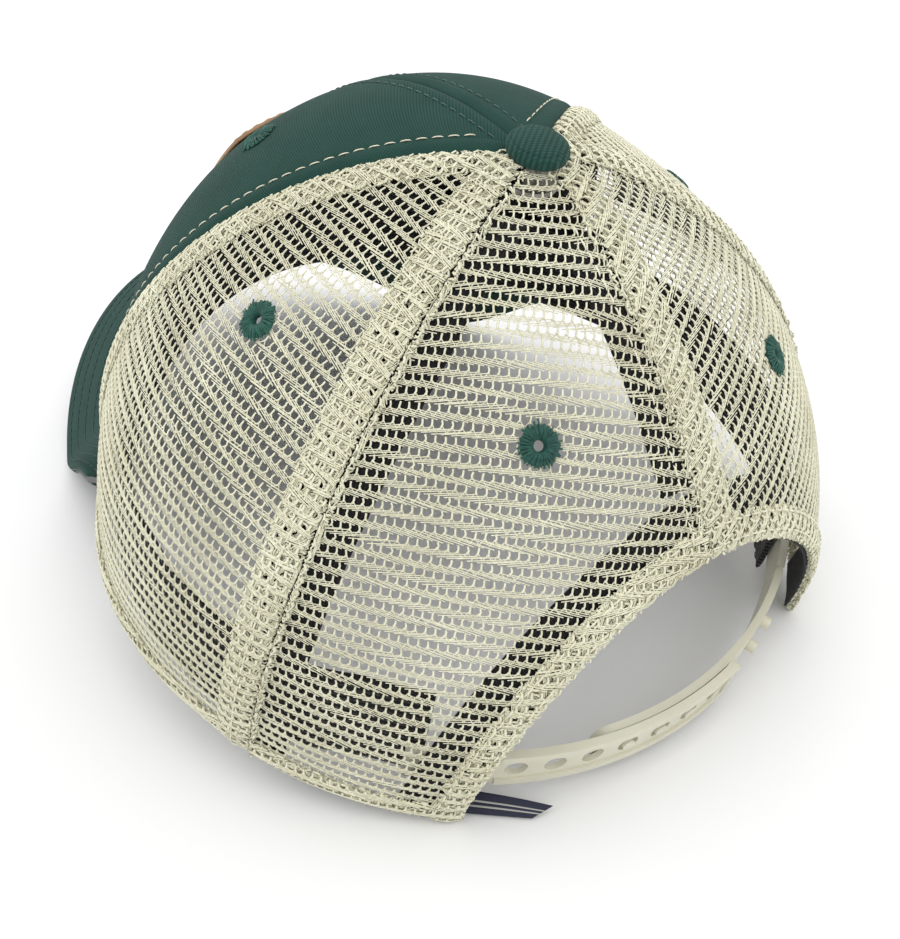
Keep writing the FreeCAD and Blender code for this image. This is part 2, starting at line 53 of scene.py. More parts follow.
# ---------------- dimensions, millimetres
HALF_WIDTH = 97.0
FRONT_LENGTH = 96.0
BACK_LENGTH = 98.5
CROWN_HEIGHT = 109.5
FRONT_FULLNESS = 2.38
SIDE_FULLNESS = 1.80
BACK_FULLNESS = 1.64
CROWN_BULGE = 0.035
FRONT_PINCH = 0.05
PINCH_FADE = 1.3
FRONT_RISE = 8.0
VISOR_SPREAD = 64.0
TOP_HOLE = 0.045

FRONT_SEAM = -90.0
SIDE_SEAM = -35.5
REAR_SIDE_SEAM = 25.0
REAR_SEAM = 90.0

ARCH_HALF_WIDTH = 56.0
ARCH_HEIGHT = 58.0
ARCH_ROUNDNESS = 1.9

SWEATBAND_ENDS = (-228.0, 48.0)
SWEATBAND_DEPTH = 4.0
SWEATBAND_END_DEPTH = 9.6
SWEATBAND_END_FLAT = 6.0     # degrees beside each end that keep the full depth
SWEATBAND_END_FADE = 20.0    # degrees over which the depth then changes
SWEATBAND_HEIGHT = 32.0
SWEATBAND_THICKNESS = 1.4

PANEL_GAP = 0.1              # degrees between neighbouring panels
TWILL_THICKNESS = 0.9
BACKING_DEPTH = 1.05
BACKING_THICKNESS = 0.8

TAPE_HALF_WIDTH = 8.0
TAPE_THICKNESS = 0.5
FRONT_TAPE = (0.26, 2.0)     # top end as a part of the hem ellipse, and depth
REAR_TAPE = (0.2, 1.15)
ARCH_TAPE_DEPTHS = (1.25, 1.75)
ARCH_TAPE_MARGINS = (0.3, 12.0)

PATCH_SPREAD = 21.0
PATCH_LEVELS = (0.14, 0.44)
PATCH_DEPTHS = (-1.6, -0.2)
PATCH_BORDER = 0.90          # where the patch's stitching runs, as a part of its half size

VISOR_HALF_WIDTH = 86.0
VISOR_ROOT_Y = -44.0
VISOR_REACH = 112.0
VISOR_OUTLINE = 1.08
VISOR_FRONT_DROP = 31.36
VISOR_SIDE_DROP = 16.0
VISOR_ARCH = 3.0
VISOR_SEAM_HEIGHT = 3.2
VISOR_TIP = 86.0
VISOR_TIP_FADE = 0.86
VISOR_SIDE_POWER = 1.9
VISOR_ROOT_GAP = 0.4
VISOR_THICKNESS = 3.8
VISOR_COVER = 0.8
VISOR_EDGE_RADIUS = VISOR_THICKNESS / 2
VISOR_STITCH_ROWS = (5.0, 11.0, 17.5, 24.5, 32.0, 40.0)    # from the visor's edge

NET_PITCH = 2.05             # between neighbouring holes of a row
NET_ROW = 3.05               # between rows of holes
HOLE_SHARE = 0.52            # part of the row pitch taken by the holes
DOME_RADIUS = 100.0

BUTTON_RADIUS = 5.9          # of the dome, inside the rolled rim
BUTTON_RIM_RADIUS = 1.05
BUTTON_RIM_HEIGHT = 1.6
BUTTON_DOME_HEIGHT = 1.2
BUTTON_LIFT = 0.2

LABEL_CORNERS = (            # both ends of the lower edge, then of the upper edge
    (-0.9, -0.6, 0.85),
    (-12.6, 9.7, 0.85),
    (-6.0, -1.6, 3.7),
    (-17.5, 11.1, 3.1),
)
LABEL_FLAT = (0.016, 0.0125)
LABEL_STRIPED = 0.006        # height of each face of the folded label, metres
LABEL_THICKNESS = 0.52
LABEL_BELLY = 0.3

EYELETS = {                  # direction and level of each centre
    "eyelet_front_left": (-61.0, 0.55),
    "eyelet_side_left": (-7.0, 0.55),
    "eyelet_rear_left": (57.5, 0.57),
    "eyelet_rear_right": (131.0, 0.52),
    "eyelet_side_right": (187.0, 0.55),
    "eyelet_front_right": (-119.0, 0.55),
}

SEAM_STITCH = {"length": 2.6, "gap": 0.5, "width": 0.45, "lift": 0.3}
ARCH_STITCH = {"length": 2.6, "gap": 0.6, "width": 0.45, "lift": 0.3}
SHOULDER_STITCH = {"length": 2.5, "gap": 0.9, "width": 0.34, "lift": 0.2, "top": 0.11}
FRONT_STITCH = {"length": 2.4, "gap": 0.8, "width": 0.32, "lift": 0.16, "top": 0.11}
BAND_STITCH = {"length": 2.8, "gap": 0.8, "width": 0.4, "lift": 0.2}
PATCH_STITCH = {"length": 3.0, "gap": 1.1, "width": 0.6, "lift": 0.25}
VISOR_STITCH = {"length": 2.4, "gap": 0.7, "width": 0.42, "lift": 0.16}

CAMERA_TURN, CAMERA_RISE, CAMERA_ROLL = 52.139, 37.809, 1.494    # degrees
CAMERA_DISTANCE = 0.278578
CAMERA_LENS = 45.90
CAMERA_AIM = (0.020539, 0.02505, 0.031522)    # metres from the crown's origin

mount = frame["record"]["mounts"][0]
CROWN_ORIGIN = np.array(mount["pos_m"])
CROWN_UP = -np.array(mount["axis"])


# ---------------- crown geometry
def crown_surface(t, s):
    """Outer face: t in degrees (-90 front, 0 the wearer's left, 90 back), s from hem to top."""
    t, s = np.broadcast_arrays(np.asarray(t, float), np.asarray(s, float))
    back = np.sin(np.radians(t))
    side = np.cos(np.radians(t))
    end = np.where(back > 0, BACK_FULLNESS, FRONT_FULLNESS)
    power = 2.0 / (SIDE_FULLNESS + (end - SIDE_FULLNESS) * back ** 2)
    angle = np.clip(s, 0.0, 1.0) * math.pi / 2
    spread = np.clip(np.cos(angle), 0.0, None) ** power
    rise = np.sin(angle) ** power
    spread = spread * (1.0 + CROWN_BULGE * np.sin(math.pi * rise))
    drawn_in = np.where(back < 0, FRONT_PINCH * np.sin(np.radians(2 * t)) ** 2, 0.0)
    spread = spread * (1.0 - drawn_in * (1.0 - np.clip(rise, 0.0, 1.0)) ** PINCH_FADE)
    length = np.where(back > 0, BACK_LENGTH, FRONT_LENGTH)
    return np.stack([HALF_WIDTH * side * spread, length * back * spread, CROWN_HEIGHT * rise], -1)


def crown_normal(t, s):
    s = np.clip(s, 0.015, 0.985)
    across = crown_surface(t + 0.2, s) - crown_surface(t - 0.2, s)
    up = crown_surface(t, s + 0.004) - crown_surface(t, s - 0.004)
    return unit(np.cross(across, up))


def crown_point(t, s, depth=0.0):
    t, s, depth = np.broadcast_arrays(*(np.asarray(a, float) for a in (t, s, depth)))
    return crown_surface(t, s) - crown_normal(t, s) * depth[..., None]


def fullness_power(t):
    back = np.sin(np.radians(t))
    end = np.where(back > 0, BACK_FULLNESS, FRONT_FULLNESS)
    return (SIDE_FULLNESS + (end - SIDE_FULLNESS) * back ** 2) / 2


def level_at_height(t, z):
    return np.arcsin(np.clip(z / CROWN_HEIGHT, 0.0, 1.0) ** fullness_power(t)) * 2 / math.pi


def level_at_spread(t, spread):
    return np.arccos(spread ** fullness_power(t)) * 2 / math.pi


def hem_rise(t):
    away = np.abs((np.asarray(t, float) - FRONT_SEAM + 180.0) % 360.0 - 180.0)
    lifted = FRONT_RISE * np.cos(np.radians(90.0 * np.minimum(away, VISOR_SPREAD) / VISOR_SPREAD)) ** 2
    return np.where(away < VISOR_SPREAD, lifted, 0.0)


def find_on_crown(x, z):
    """Direction and level of the points at the back of the crown that have the given x and z."""
    x, z = np.broadcast_arrays(np.asarray(x, float), np.asarray(z, float))
    t = np.full(x.shape, 75.0)
    for _ in range(40):
        s = level_at_height(t, z)
        spread = crown_surface(t, s)[..., 0] / (HALF_WIDTH * np.cos(np.radians(t)))
        wanted = np.clip(np.abs(x) / (HALF_WIDTH * spread), 0.0, 1.0)
        t = 0.5 * t + 0.5 * np.minimum(np.degrees(np.arccos(wanted)), 89.999)
    s = level_at_height(t, z)
    return np.where(x >= 0, t, 180.0 - t), s


def arch_edge(angle, margin=0.0):
    """Point (t, s) of the rear opening's edge; angle 0 is the wearer's left foot, 90 the top."""
    side = np.cos(np.radians(angle))
    up = np.sin(np.radians(angle))
    power = 2.0 / ARCH_ROUNDNESS
    x = (ARCH_HALF_WIDTH + margin) * np.sign(side) * np.abs(side) ** power
    z = (ARCH_HEIGHT + margin) * np.clip(up, 0.0, 1.0) ** power
    return find_on_crown(x, z)


def arch_distance(point):
    """Rough distance outside the rear opening's edge, for crown points; large at the front."""
    x, y, z = point[..., 0], point[..., 1], point[..., 2]
    ratio = (np.abs(x) / ARCH_HALF_WIDTH) ** ARCH_ROUNDNESS + (np.abs(z) / ARCH_HEIGHT) ** ARCH_ROUNDNESS
    size = np.maximum(ratio, 1e-6) ** (1.0 / ARCH_ROUNDNESS)
    reach = np.hypot(x, z) * (1.0 - 1.0 / size)
    return np.where(y > 0, reach, 100.0)


def to_row(points):
    """Crown frame, millimetres, to the row frame, metres."""
    points = np.asarray(points, float) * 0.001
    up_y, up_z = CROWN_UP[1], CROWN_UP[2]
    y = points[..., 1] * up_z + points[..., 2] * up_y
    z = -points[..., 1] * up_y + points[..., 2] * up_z
    return np.stack([points[..., 0], y, z], -1) + CROWN_ORIGIN


# ---------------- mesh helpers
def link(name, data):
    item = bpy.data.objects.new(name, data)
    bpy.context.scene.collection.objects.link(item)
    return item


def row_mesh(name, points, faces, material, uv=None):
    """Smooth object from points in the row frame, metres; uv are cloth coordinates in metres."""
    mesh = bpy.data.meshes.new(name)
    mesh.from_pydata(points.tolist(), [], np.asarray(faces, int).tolist())
    mesh.update()
    mesh.polygons.foreach_set("use_smooth", [True] * len(mesh.polygons))
    if uv is not None:
        layer = mesh.uv_layers.new(name="cloth")
        loops = np.zeros(len(mesh.loops), dtype=np.int32)
        mesh.loops.foreach_get("vertex_index", loops)
        layer.data.foreach_set("uv", np.asarray(uv, float)[loops].astype(np.float32).ravel())
    mesh.materials.append(material)
    return link(name, mesh)


def new_mesh(name, vertices, faces, material, uv=None):
    """Object from vertices in crown millimetres."""
    return row_mesh(name, to_row(vertices), faces, material, uv)


def running_length(points):
    """Distance of each point along a path."""
    steps = np.linalg.norm(np.diff(points, axis=0), axis=1)
    return np.concatenate([[0.0], np.cumsum(steps)])


def unit(vectors):
    return vectors / np.linalg.norm(vectors, axis=-1, keepdims=True)


def ring_faces(*shape):
    """Faces between successive closed rings; shape ends with the counts of rings and points."""
    index = np.arange(math.prod(shape)).reshape(shape)
    here, ahead = index[..., :-1, :], index[..., 1:, :]
    return np.stack([here, np.roll(here, -1, -1), np.roll(ahead, -1, -1), ahead], -1).reshape(-1, 4)


def slab_geometry(outer, inner):
    """Closed sheet between two grids of points: vertices, faces and cloth coordinates."""
    rows, columns = outer.shape[:2]
    index = np.arange(rows * columns).reshape(rows, columns)
    a, b, c, d = index[:-1, :-1], index[1:, :-1], index[1:, 1:], index[:-1, 1:]
    front = np.stack([a, b, c, d], -1).reshape(-1, 4)
    shift = rows * columns
    rear = front[:, ::-1] + shift
    rim = np.concatenate([index[0, :-1], index[:-1, -1], index[-1, :0:-1], index[:0:-1, 0]])
    after = np.roll(rim, -1)
    sides = np.stack([rim, after, after + shift, rim + shift], -1)
    across = np.linalg.norm(np.diff(outer, axis=0), axis=-1)
    along = np.linalg.norm(np.diff(outer, axis=1), axis=-1)
    u = np.zeros((rows, columns))
    u[1:] = np.cumsum(across, 0)
    u -= u[rows // 2]
    v = np.zeros((rows, columns))
    v[:, 1:] = np.cumsum(along, 1)
    uv = np.stack([u, v], -1).reshape(-1, 2) * 0.001
    vertices = np.concatenate([outer.reshape(-1, 3), inner.reshape(-1, 3)])
    return vertices, np.concatenate([front, rear, sides]), np.concatenate([uv, uv])


def sheet_piece(name, outer, inner, material):
    """Sheet with its two faces given as grids; the first grid is the one seen from outside."""
    vertices, faces, uv = slab_geometry(outer, inner)
    return new_mesh(name, vertices, faces, material, uv=uv)


def tubes(lines, side_width, height, place):
    """Thin strands with a four-sided section.

    lines is an array (strand, point, 2) on a flat sheet; place maps flat points and depths to
    millimetres.  Returns vertices and faces."""
    count, points = lines.shape[:2]
    tangent = np.gradient(lines, axis=1)
    length = np.linalg.norm(tangent, axis=-1, keepdims=True)
    tangent = tangent / np.maximum(length, 1e-9)
    across = np.stack([-tangent[..., 1], tangent[..., 0]], -1) * side_width / 2
    flat = np.stack([lines + across, lines, lines - across, lines], 2)
    depth = np.broadcast_to(np.array([0.0, -height / 2, 0.0, height / 2]), flat.shape[:3])
    vertices = place(flat, depth)
    return vertices.reshape(-1, 3), ring_faces(count, points, 4)[:, [0, 3, 2, 1]]


def merge(parts):
    vertices, faces, offset = [], [], 0
    for part_vertices, part_faces in parts:
        vertices.append(part_vertices)
        faces.append(part_faces + offset)
        offset += len(part_vertices)
    return np.concatenate(vertices), np.concatenate(faces)


def stitch_geometry(path, normals, length, gap, width, lift):
    """Separate stitches along a path of crown points: short rounded bars that stand proud."""
    distance = running_length(path)
    total = distance[-1]
    count = int(total / (length + gap))
    starts = (np.arange(count) + 0.5) * total / count - length / 2
    shares = np.array([0.0, 0.18, 0.5, 0.82, 1.0])
    heights = np.array([-0.35, 0.55, 0.9, 0.55, -0.35]) * lift
    widths = np.array([0.35, 0.95, 1.0, 0.95, 0.35]) * width / 2
    at = starts[:, None] + shares * length
    centre = np.stack([np.interp(at, distance, path[:, i]) for i in range(3)], -1)
    normal = unit(np.stack([np.interp(at, distance, normals[:, i]) for i in range(3)], -1))
    tangent = unit(np.gradient(centre, axis=1))
    side = np.cross(tangent, normal)
    turn = np.arange(6) * math.pi / 3
    ring = (np.cos(turn)[:, None] * side[:, :, None, :] + 0.8 * np.sin(turn)[:, None] * normal[:, :, None, :])
    vertices = (centre + normal * heights[:, None])[:, :, None, :] + ring * widths[:, None, None]
    return vertices.reshape(-1, 3), ring_faces(count, 5, 6)


def crown_stitches(t, s, depth, **stitch):
    return stitch_geometry(crown_point(t, s, depth), crown_normal(t, s), **stitch)


# ---------------- materials
def new_material(name):
    material = bpy.data.materials.new(name)
    material.use_nodes = True
    nodes = material.node_tree.nodes
    return material, nodes, material.node_tree.links, nodes["Principled BSDF"]


def set_inputs(node, **values):
    """Values by input name, with underscores for spaces."""
    for name, value in values.items():
        node.inputs[name.replace("_", " ")].default_value = value


def noise(nodes, links, vector, scale, detail=3.0):
    node = nodes.new("ShaderNodeTexNoise")
    set_inputs(node, Scale=scale, Detail=detail)
    links.new(vector, node.inputs["Vector"])
    return node.outputs["Fac"]


def ramp(nodes, links, value, colours):
    node = nodes.new("ShaderNodeValToRGB")
    points = node.color_ramp.elements
    while len(points) < len(colours):
        points.new(0.5)
    for point, (position, colour) in zip(points, colours):
        point.position = position
        point.color = (*colour, 1.0)
    links.new(value, node.inputs["Fac"])
    return node.outputs["Color"]


def math_node(nodes, links, operation, first, second):
    node = nodes.new("ShaderNodeMath")
    node.operation = operation
    for socket, value in zip(node.inputs, (first, second)):
        if isinstance(value, (int, float)):
            socket.default_value = value
        else:
            links.new(value, socket)
    return node.outputs["Value"]


def bump(nodes, links, height, strength, distance, shader):
    node = nodes.new("ShaderNodeBump")
    set_inputs(node, Strength=strength, Distance=distance)
    links.new(height, node.inputs["Height"])
    links.new(node.outputs["Normal"], shader.inputs["Normal"])


def cloth_vector(nodes):
    node = nodes.new("ShaderNodeUVMap")
    node.uv_map = "cloth"
    return node.outputs["UV"]


def object_vector(nodes):
    return nodes.new("ShaderNodeTexCoord").outputs["Object"]


def wave(nodes, links, vector, period, turn, distortion=0.0):
    """Ribs with a period in metres, turned by an angle in degrees on the cloth."""
    mapping = nodes.new("ShaderNodeMapping")
    set_inputs(mapping, Rotation=(0.0, 0.0, math.radians(turn)))
    links.new(vector, mapping.inputs["Vector"])
    node = nodes.new("ShaderNodeTexWave")
    node.wave_type = "BANDS"
    node.bands_direction = "X"
    set_inputs(node, Scale=2 * math.pi / (20.0 * period), Distortion=distortion,
               Detail=1.0, Detail_Scale=40.0)
    links.new(mapping.outputs["Vector"], node.inputs["Vector"])
    return node.outputs["Fac"]


def cloth_material(name, dark, light, rib, turn, roughness, sheen, depth):
    """Twill: diagonal ribs crossed by finer yarns, with uneven dye; rib and depth in metres."""
    material, nodes, links, shader = new_material(name)
    vector = cloth_vector(nodes)
    ribs = wave(nodes, links, vector, rib, turn, 0.6)
    yarns = wave(nodes, links, vector, rib * 0.62, turn + 62.0, 0.4)
    weave = math_node(nodes, links, "MULTIPLY", ribs, math_node(nodes, links, "ADD", yarns, 0.6))
    patches = noise(nodes, links, vector, 90.0, 4.0)
    mixed = math_node(nodes, links, "ADD", math_node(nodes, links, "MULTIPLY", weave, 0.45),
                      math_node(nodes, links, "MULTIPLY", patches, 0.45))
    links.new(ramp(nodes, links, mixed, [(0.1, dark), (0.75, light)]), shader.inputs["Base Color"])
    set_inputs(shader, Roughness=roughness, Sheen_Weight=sheen, Sheen_Roughness=0.5,
               Specular_IOR_Level=0.25)
    bump(nodes, links, weave, 0.7, depth, shader)
    return material


def yarn_material(name, dark, light, roughness, sheen, scale=1400.0):
    material, nodes, links, shader = new_material(name)
    vector = object_vector(nodes)
    fibres = noise(nodes, links, vector, scale, 3.0)
    patches = noise(nodes, links, vector, 60.0, 2.0)
    mixed = math_node(nodes, links, "ADD", math_node(nodes, links, "MULTIPLY", fibres, 0.6),
                      math_node(nodes, links, "MULTIPLY", patches, 0.4))
    links.new(ramp(nodes, links, mixed, [(0.3, dark), (0.7, light)]), shader.inputs["Base Color"])
    set_inputs(shader, Roughness=roughness, Sheen_Weight=sheen, Specular_IOR_Level=0.35)
    bump(nodes, links, fibres, 0.4, 0.00012, shader)
    return material


def leather_material(name, dark, light):
    material, nodes, links, shader = new_material(name)
    vector = object_vector(nodes)
    cells = nodes.new("ShaderNodeTexVoronoi")
    set_inputs(cells, Scale=900.0)
    links.new(vector, cells.inputs["Vector"])
    patches = noise(nodes, links, vector, 70.0, 5.0)
    links.new(ramp(nodes, links, patches, [(0.3, dark), (0.72, light)]), shader.inputs["Base Color"])
    set_inputs(shader, Roughness=0.62)
    grain = math_node(nodes, links, "ADD", cells.outputs["Distance"], noise(nodes, links, vector, 500.0))
    bump(nodes, links, grain, 0.4, 0.0002, shader)
    return material


def plastic_material(name, dark, light):
    material, nodes, links, shader = new_material(name)
    vector = object_vector(nodes)
    cloud = noise(nodes, links, vector, 45.0, 3.0)
    links.new(ramp(nodes, links, cloud, [(0.25, dark), (0.75, light)]), shader.inputs["Base Color"])
    fine = noise(nodes, links, vector, 1800.0, 2.0)
    rough = math_node(nodes, links, "ADD", math_node(nodes, links, "MULTIPLY", cloud, 0.12), 0.30)
    links.new(rough, shader.inputs["Roughness"])
    set_inputs(shader, Subsurface_Weight=0.12, Subsurface_Radius=(0.004, 0.003, 0.002),
               Subsurface_Scale=1.0)
    bump(nodes, links, fine, 0.12, 0.0001, shader)
    return material


def metal_material(name):
    material, nodes, links, shader = new_material(name)
    scratches = noise(nodes, links, object_vector(nodes), 700.0, 4.0)
    links.new(ramp(nodes, links, scratches, [(0.3, (0.35, 0.34, 0.32)), (0.7, (0.55, 0.54, 0.52))]),
              shader.inputs["Base Color"])
    set_inputs(shader, Metallic=1.0, Roughness=0.35)
    bump(nodes, links, scratches, 0.15, 0.0001, shader)
    return material


GREEN_DARK = (0.004, 0.026, 0.020)
GREEN_LIGHT = (0.016, 0.066, 0.052)
CREAM_DARK = (0.60, 0.57, 0.40)
CREAM_LIGHT = (0.87, 0.865, 0.69)
BLACK_DARK, BLACK_LIGHT = (0.006, 0.006, 0.007), (0.022, 0.022, 0.024)
twill = cloth_material("green_twill", GREEN_DARK, GREEN_LIGHT, 0.00062, 52.0, 0.92, 0.03, 0.00008)
button_twill = cloth_material("button_twill", GREEN_DARK, (0.018, 0.08, 0.062),
                              0.0012, 52.0, 0.85, 0.05, 0.00035)
lining = cloth_material("black_lining", BLACK_DARK, BLACK_LIGHT, 0.0009, 0.0, 0.92, 0.1, 0.0002)
band_cloth = cloth_material("black_sweatband", (0.005, 0.005, 0.006), (0.02, 0.02, 0.022),
                            0.0014, 90.0, 0.9, 0.2, 0.0003)
net_yarn = yarn_material("cream_mesh", CREAM_DARK, CREAM_LIGHT, 0.62, 0.15)
cream_thread = yarn_material("cream_thread", (0.55, 0.52, 0.38), (0.85, 0.82, 0.66), 0.55, 0.2)
green_thread = yarn_material("green_thread", (0.004, 0.045, 0.034), (0.018, 0.115, 0.082), 0.5, 0.1)
visor_thread = yarn_material("visor_thread", (0.006, 0.032, 0.026), (0.02, 0.075, 0.06), 0.6, 0.05)
lining_thread = yarn_material("black_thread", (0.008, 0.008, 0.009), (0.03, 0.03, 0.032), 0.6, 0.1)
tan_thread = yarn_material("tan_thread", (0.30, 0.19, 0.09), (0.5, 0.34, 0.18), 0.55, 0.1)
dull_thread = yarn_material("dull_green_thread", (0.02, 0.065, 0.054), (0.06, 0.14, 0.115), 0.55, 0.2)
leather = leather_material("tan_leather", (0.20, 0.105, 0.045), (0.36, 0.21, 0.10))
plastic = plastic_material("cream_plastic", (0.60, 0.58, 0.46), (0.68, 0.66, 0.54))
metal = metal_material("rivet_metal")
board = leather_material("grey_board", (0.10, 0.10, 0.10), (0.2, 0.2, 0.2))


def label_material():
    """Navy ground with a few plain pale stripes along the label, woven with fine ribs."""
    material, nodes, links, shader = new_material("label_weave")
    vector = cloth_vector(nodes)
    parts = nodes.new("ShaderNodeSeparateXYZ")
    links.new(vector, parts.inputs["Vector"])
    place = math_node(nodes, links, "MULTIPLY", parts.outputs["Y"], 1.0 / LABEL_STRIPED)
    colours = nodes.new("ShaderNodeValToRGB")
    colours.color_ramp.interpolation = "CONSTANT"
    navy, pale = (0.006, 0.009, 0.035, 1.0), (0.45, 0.45, 0.42, 1.0)
    points = colours.color_ramp.elements
    points[0].position, points[0].color = 0.0, navy
    points[1].position, points[1].color = 0.32, pale
    for position, colour in ((0.40, navy), (0.54, pale), (0.62, navy)):
        point = points.new(position)
        point.color = colour
    links.new(place, colours.inputs["Fac"])
    ribs = wave(nodes, links, vector, 0.00045, 90.0, 0.3)
    mix = nodes.new("ShaderNodeMix")
    mix.data_type = "RGBA"
    mix.blend_type = "MULTIPLY"
    set_inputs(mix, Factor=0.45)
    links.new(colours.outputs["Color"], mix.inputs["A"])
    links.new(ramp(nodes, links, ribs, [(0.0, (0.35, 0.35, 0.35)), (1.0, (1.0, 1.0, 1.0))]), mix.inputs["B"])
    links.new(mix.outputs["Result"], shader.inputs["Base Color"])
    set_inputs(shader, Roughness=0.6, Sheen_Weight=0.1)
    bump(nodes, links, ribs, 0.6, 0.0001, shader)
    return material


label_weave = label_material()


def settle(piece, slot, *nodes):
    """The piece rides on the crown and stands for CAD nodes, which it hides; slot is not used."""
    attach(piece, "crown")
    if nodes:
        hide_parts(*nodes)


def merged_piece(name, parts, material, slot, *nodes):
    vertices, faces = merge(parts)
    settle(new_mesh(name, vertices, faces, material), slot, *nodes)


# ---------------- net panels
class Panel:
    """Flat layout of one mesh panel: u runs along the rows, v up the middle of the panel."""

    def __init__(self, first, last, eyelet, bands):
        self.first, self.last, self.bands = first, last, bands
        self.eyelet = crown_surface(*EYELETS[eyelet])
        middle = (first + last) / 2
        self.levels = np.linspace(0.0, 0.985, 240)
        spine = crown_surface(middle, self.levels)
        self.heights = running_length(spine)
        self.reach = 75.0
        self.widths = np.linspace(-self.reach, self.reach, 151)
        angles = np.linspace(middle - 60.0, middle + 60.0, 241)
        grid = crown_surface(angles[None, :], self.levels[:, None])
        steps = np.linalg.norm(np.diff(grid, axis=1), axis=-1)
        arc = np.concatenate([np.zeros((len(self.levels), 1)), np.cumsum(steps, 1)], 1)
        arc -= arc[:, 120:121]
        self.table = np.stack([np.interp(self.widths, row, angles) for row in arc])

    def locate(self, flat):
        """Direction and level of flat points (u, v); a straight row sags towards the seams."""
        sag = np.tan(np.clip(flat[..., 1] / DOME_RADIUS, 0.0, 1.2)) * flat[..., 0] ** 2 / (2 * DOME_RADIUS)
        row = np.interp(flat[..., 1] - 0.8 * sag, self.heights, np.arange(len(self.levels)))
        column = np.clip((flat[..., 0] + self.reach), 0.0, 2 * self.reach - 1e-6)
        low, left = np.minimum(row.astype(int), len(self.levels) - 2), column.astype(int)
        up, along = row - low, column - left
        t = ((self.table[low, left] * (1 - along) + self.table[low, left + 1] * along) * (1 - up)
             + (self.table[low + 1, left] * (1 - along) + self.table[low + 1, left + 1] * along) * up)
        s = self.levels[low] * (1 - up) + self.levels[low + 1] * up
        return t, s

    def edges(self, flat):
        """Distances in millimetres to first seam, last seam, hem, rear opening, eyelet and top."""
        t, s = self.locate(flat)
        point = crown_surface(t, s)
        radius = np.hypot(point[..., 0], point[..., 1])
        scale = radius * math.pi / 180.0
        eyelet = np.linalg.norm(point - self.eyelet, axis=-1)
        return ((t - self.first) * scale, (self.last - t) * scale, point[..., 2] - hem_rise(t),
                arch_distance(point), eyelet, radius)

    def lines(self):
        """Strands of the net on the flat: pillars, forks and leaning filaments."""
        columns = int(2 * self.reach / NET_PITCH)
        rows = int(self.heights[-1] / NET_ROW) + 2
        half_hole = NET_ROW * HOLE_SHARE / 2
        band = NET_ROW * (1 - HOLE_SHARE)
        column, row = np.meshgrid(np.arange(-columns // 2, columns // 2), np.arange(-1, rows))
        column, row = column.ravel(), row.ravel()
        x = (column + 0.5 * (row % 2)) * NET_PITCH
        y = (row + 0.5) * NET_ROW + 0.22 * np.sin(x / 8.0 + row * 0.9)
        y = y + random.normal(0.0, 0.05, x.shape)
        sway = random.normal(0.0, 0.08, (3,) + x.shape)
        pillar = [(x + sway[0], y - half_hole), (x + sway[1] + 0.08, y), (x + sway[2], y + half_hole)]
        strands = [(pillar, 0.46, 0.5, 0.0)]
        for side in (-1, 1):
            fork = [(x + sway[0] + side * 0.06, y - half_hole * 0.45),
                    (x + side * NET_PITCH * 0.17, y - half_hole - band * 0.06),
                    (x + side * NET_PITCH / 2, y - half_hole - band * 0.72)]
            strands.append((fork, 0.27, 0.34, 0.16))
        lean = np.where(row % 2 == 0, 1.0, -1.0)
        middle = y - half_hole - band / 2 + random.normal(0.0, 0.05, x.shape)
        filament = [(x + 2.0 * share * NET_PITCH, middle - lean * share * band * 0.52)
                    for share in (-1, 0, 1)]
        strands.append((filament, 0.23, 0.24, 0.02))
        return [(np.stack([np.stack(point, -1) for point in strand], 1), *rest) for strand, *rest in strands]

    def trimmed(self, lines, keep):
        """Strands cut back to the part that lies where keep(edges) holds."""
        shares = np.linspace(0.0, lines.shape[1] - 1, 9)
        low = np.minimum(shares.astype(int), lines.shape[1] - 2)
        part = (shares - low)[None, :, None]
        fine = lines[:, low] * (1 - part) + lines[:, low + 1] * part
        inside = keep(*self.edges(fine))
        first = inside.argmax(1)
        last = inside.shape[1] - 1 - inside[:, ::-1].argmax(1)
        whole = (inside.sum(1) == last - first + 1) & (last - first >= 2)
        first, last, fine = first[whole], last[whole], fine[whole]
        steps = np.linspace(0.0, 1.0, lines.shape[1])
        at = np.rint(first[:, None] + (last - first)[:, None] * steps).astype(int)
        return np.take_along_axis(fine, at[..., None], axis=1)

    def net(self, keep, depth, shift=(0.0, 0.0), turn=0.0, thick=1.0, raised=0.0):
        """Knitted net as strands, kept where keep(edges) holds; raised lifts the seam bands."""
        spin = math.radians(turn)
        rotation = np.array([[math.cos(spin), math.sin(spin)], [-math.sin(spin), math.cos(spin)]])
        results = []
        for lines, width, height, level in self.lines():
            lines = self.trimmed((lines + np.asarray(shift) - [0.0, 60.0]) @ rotation + [0.0, 60.0], keep)
            if not len(lines):
                continue

            def place(flat, lower, level=level):
                t, s = self.locate(flat)
                lift = raised * self.ridge(flat) if raised else 0.0
                return crown_point(t, s, depth + level + lower - lift)

            results.append(tubes(lines, width * thick, height, place))
        return merge(results)

    def ridge(self, flat):
        """How far up the back of a seam or hem band a point is, from 0 to 1."""
        first, last, hem, arch = self.edges(flat)[:4]
        height = np.zeros(first.shape)
        for distance, width in zip((first, last, hem, arch), self.bands):
            height = np.maximum(height, np.sin(math.pi * np.clip(distance / width, 0.0, 1.0)))
        return height

    def in_band(self, first, last, hem, arch, eyelet, top):
        near = np.zeros(first.shape, bool)
        for distance, width in zip((first, last, hem, arch), self.bands):
            near |= distance < width
        return net_area(first, last, hem, arch, eyelet, top) & near


def net_area(first, last, hem, arch, eyelet, top):
    return (first > 0.1) & (last > 0.1) & (hem > 0.2) & (arch > 0.3) & (eyelet > 3.4) & (top > 5.5)


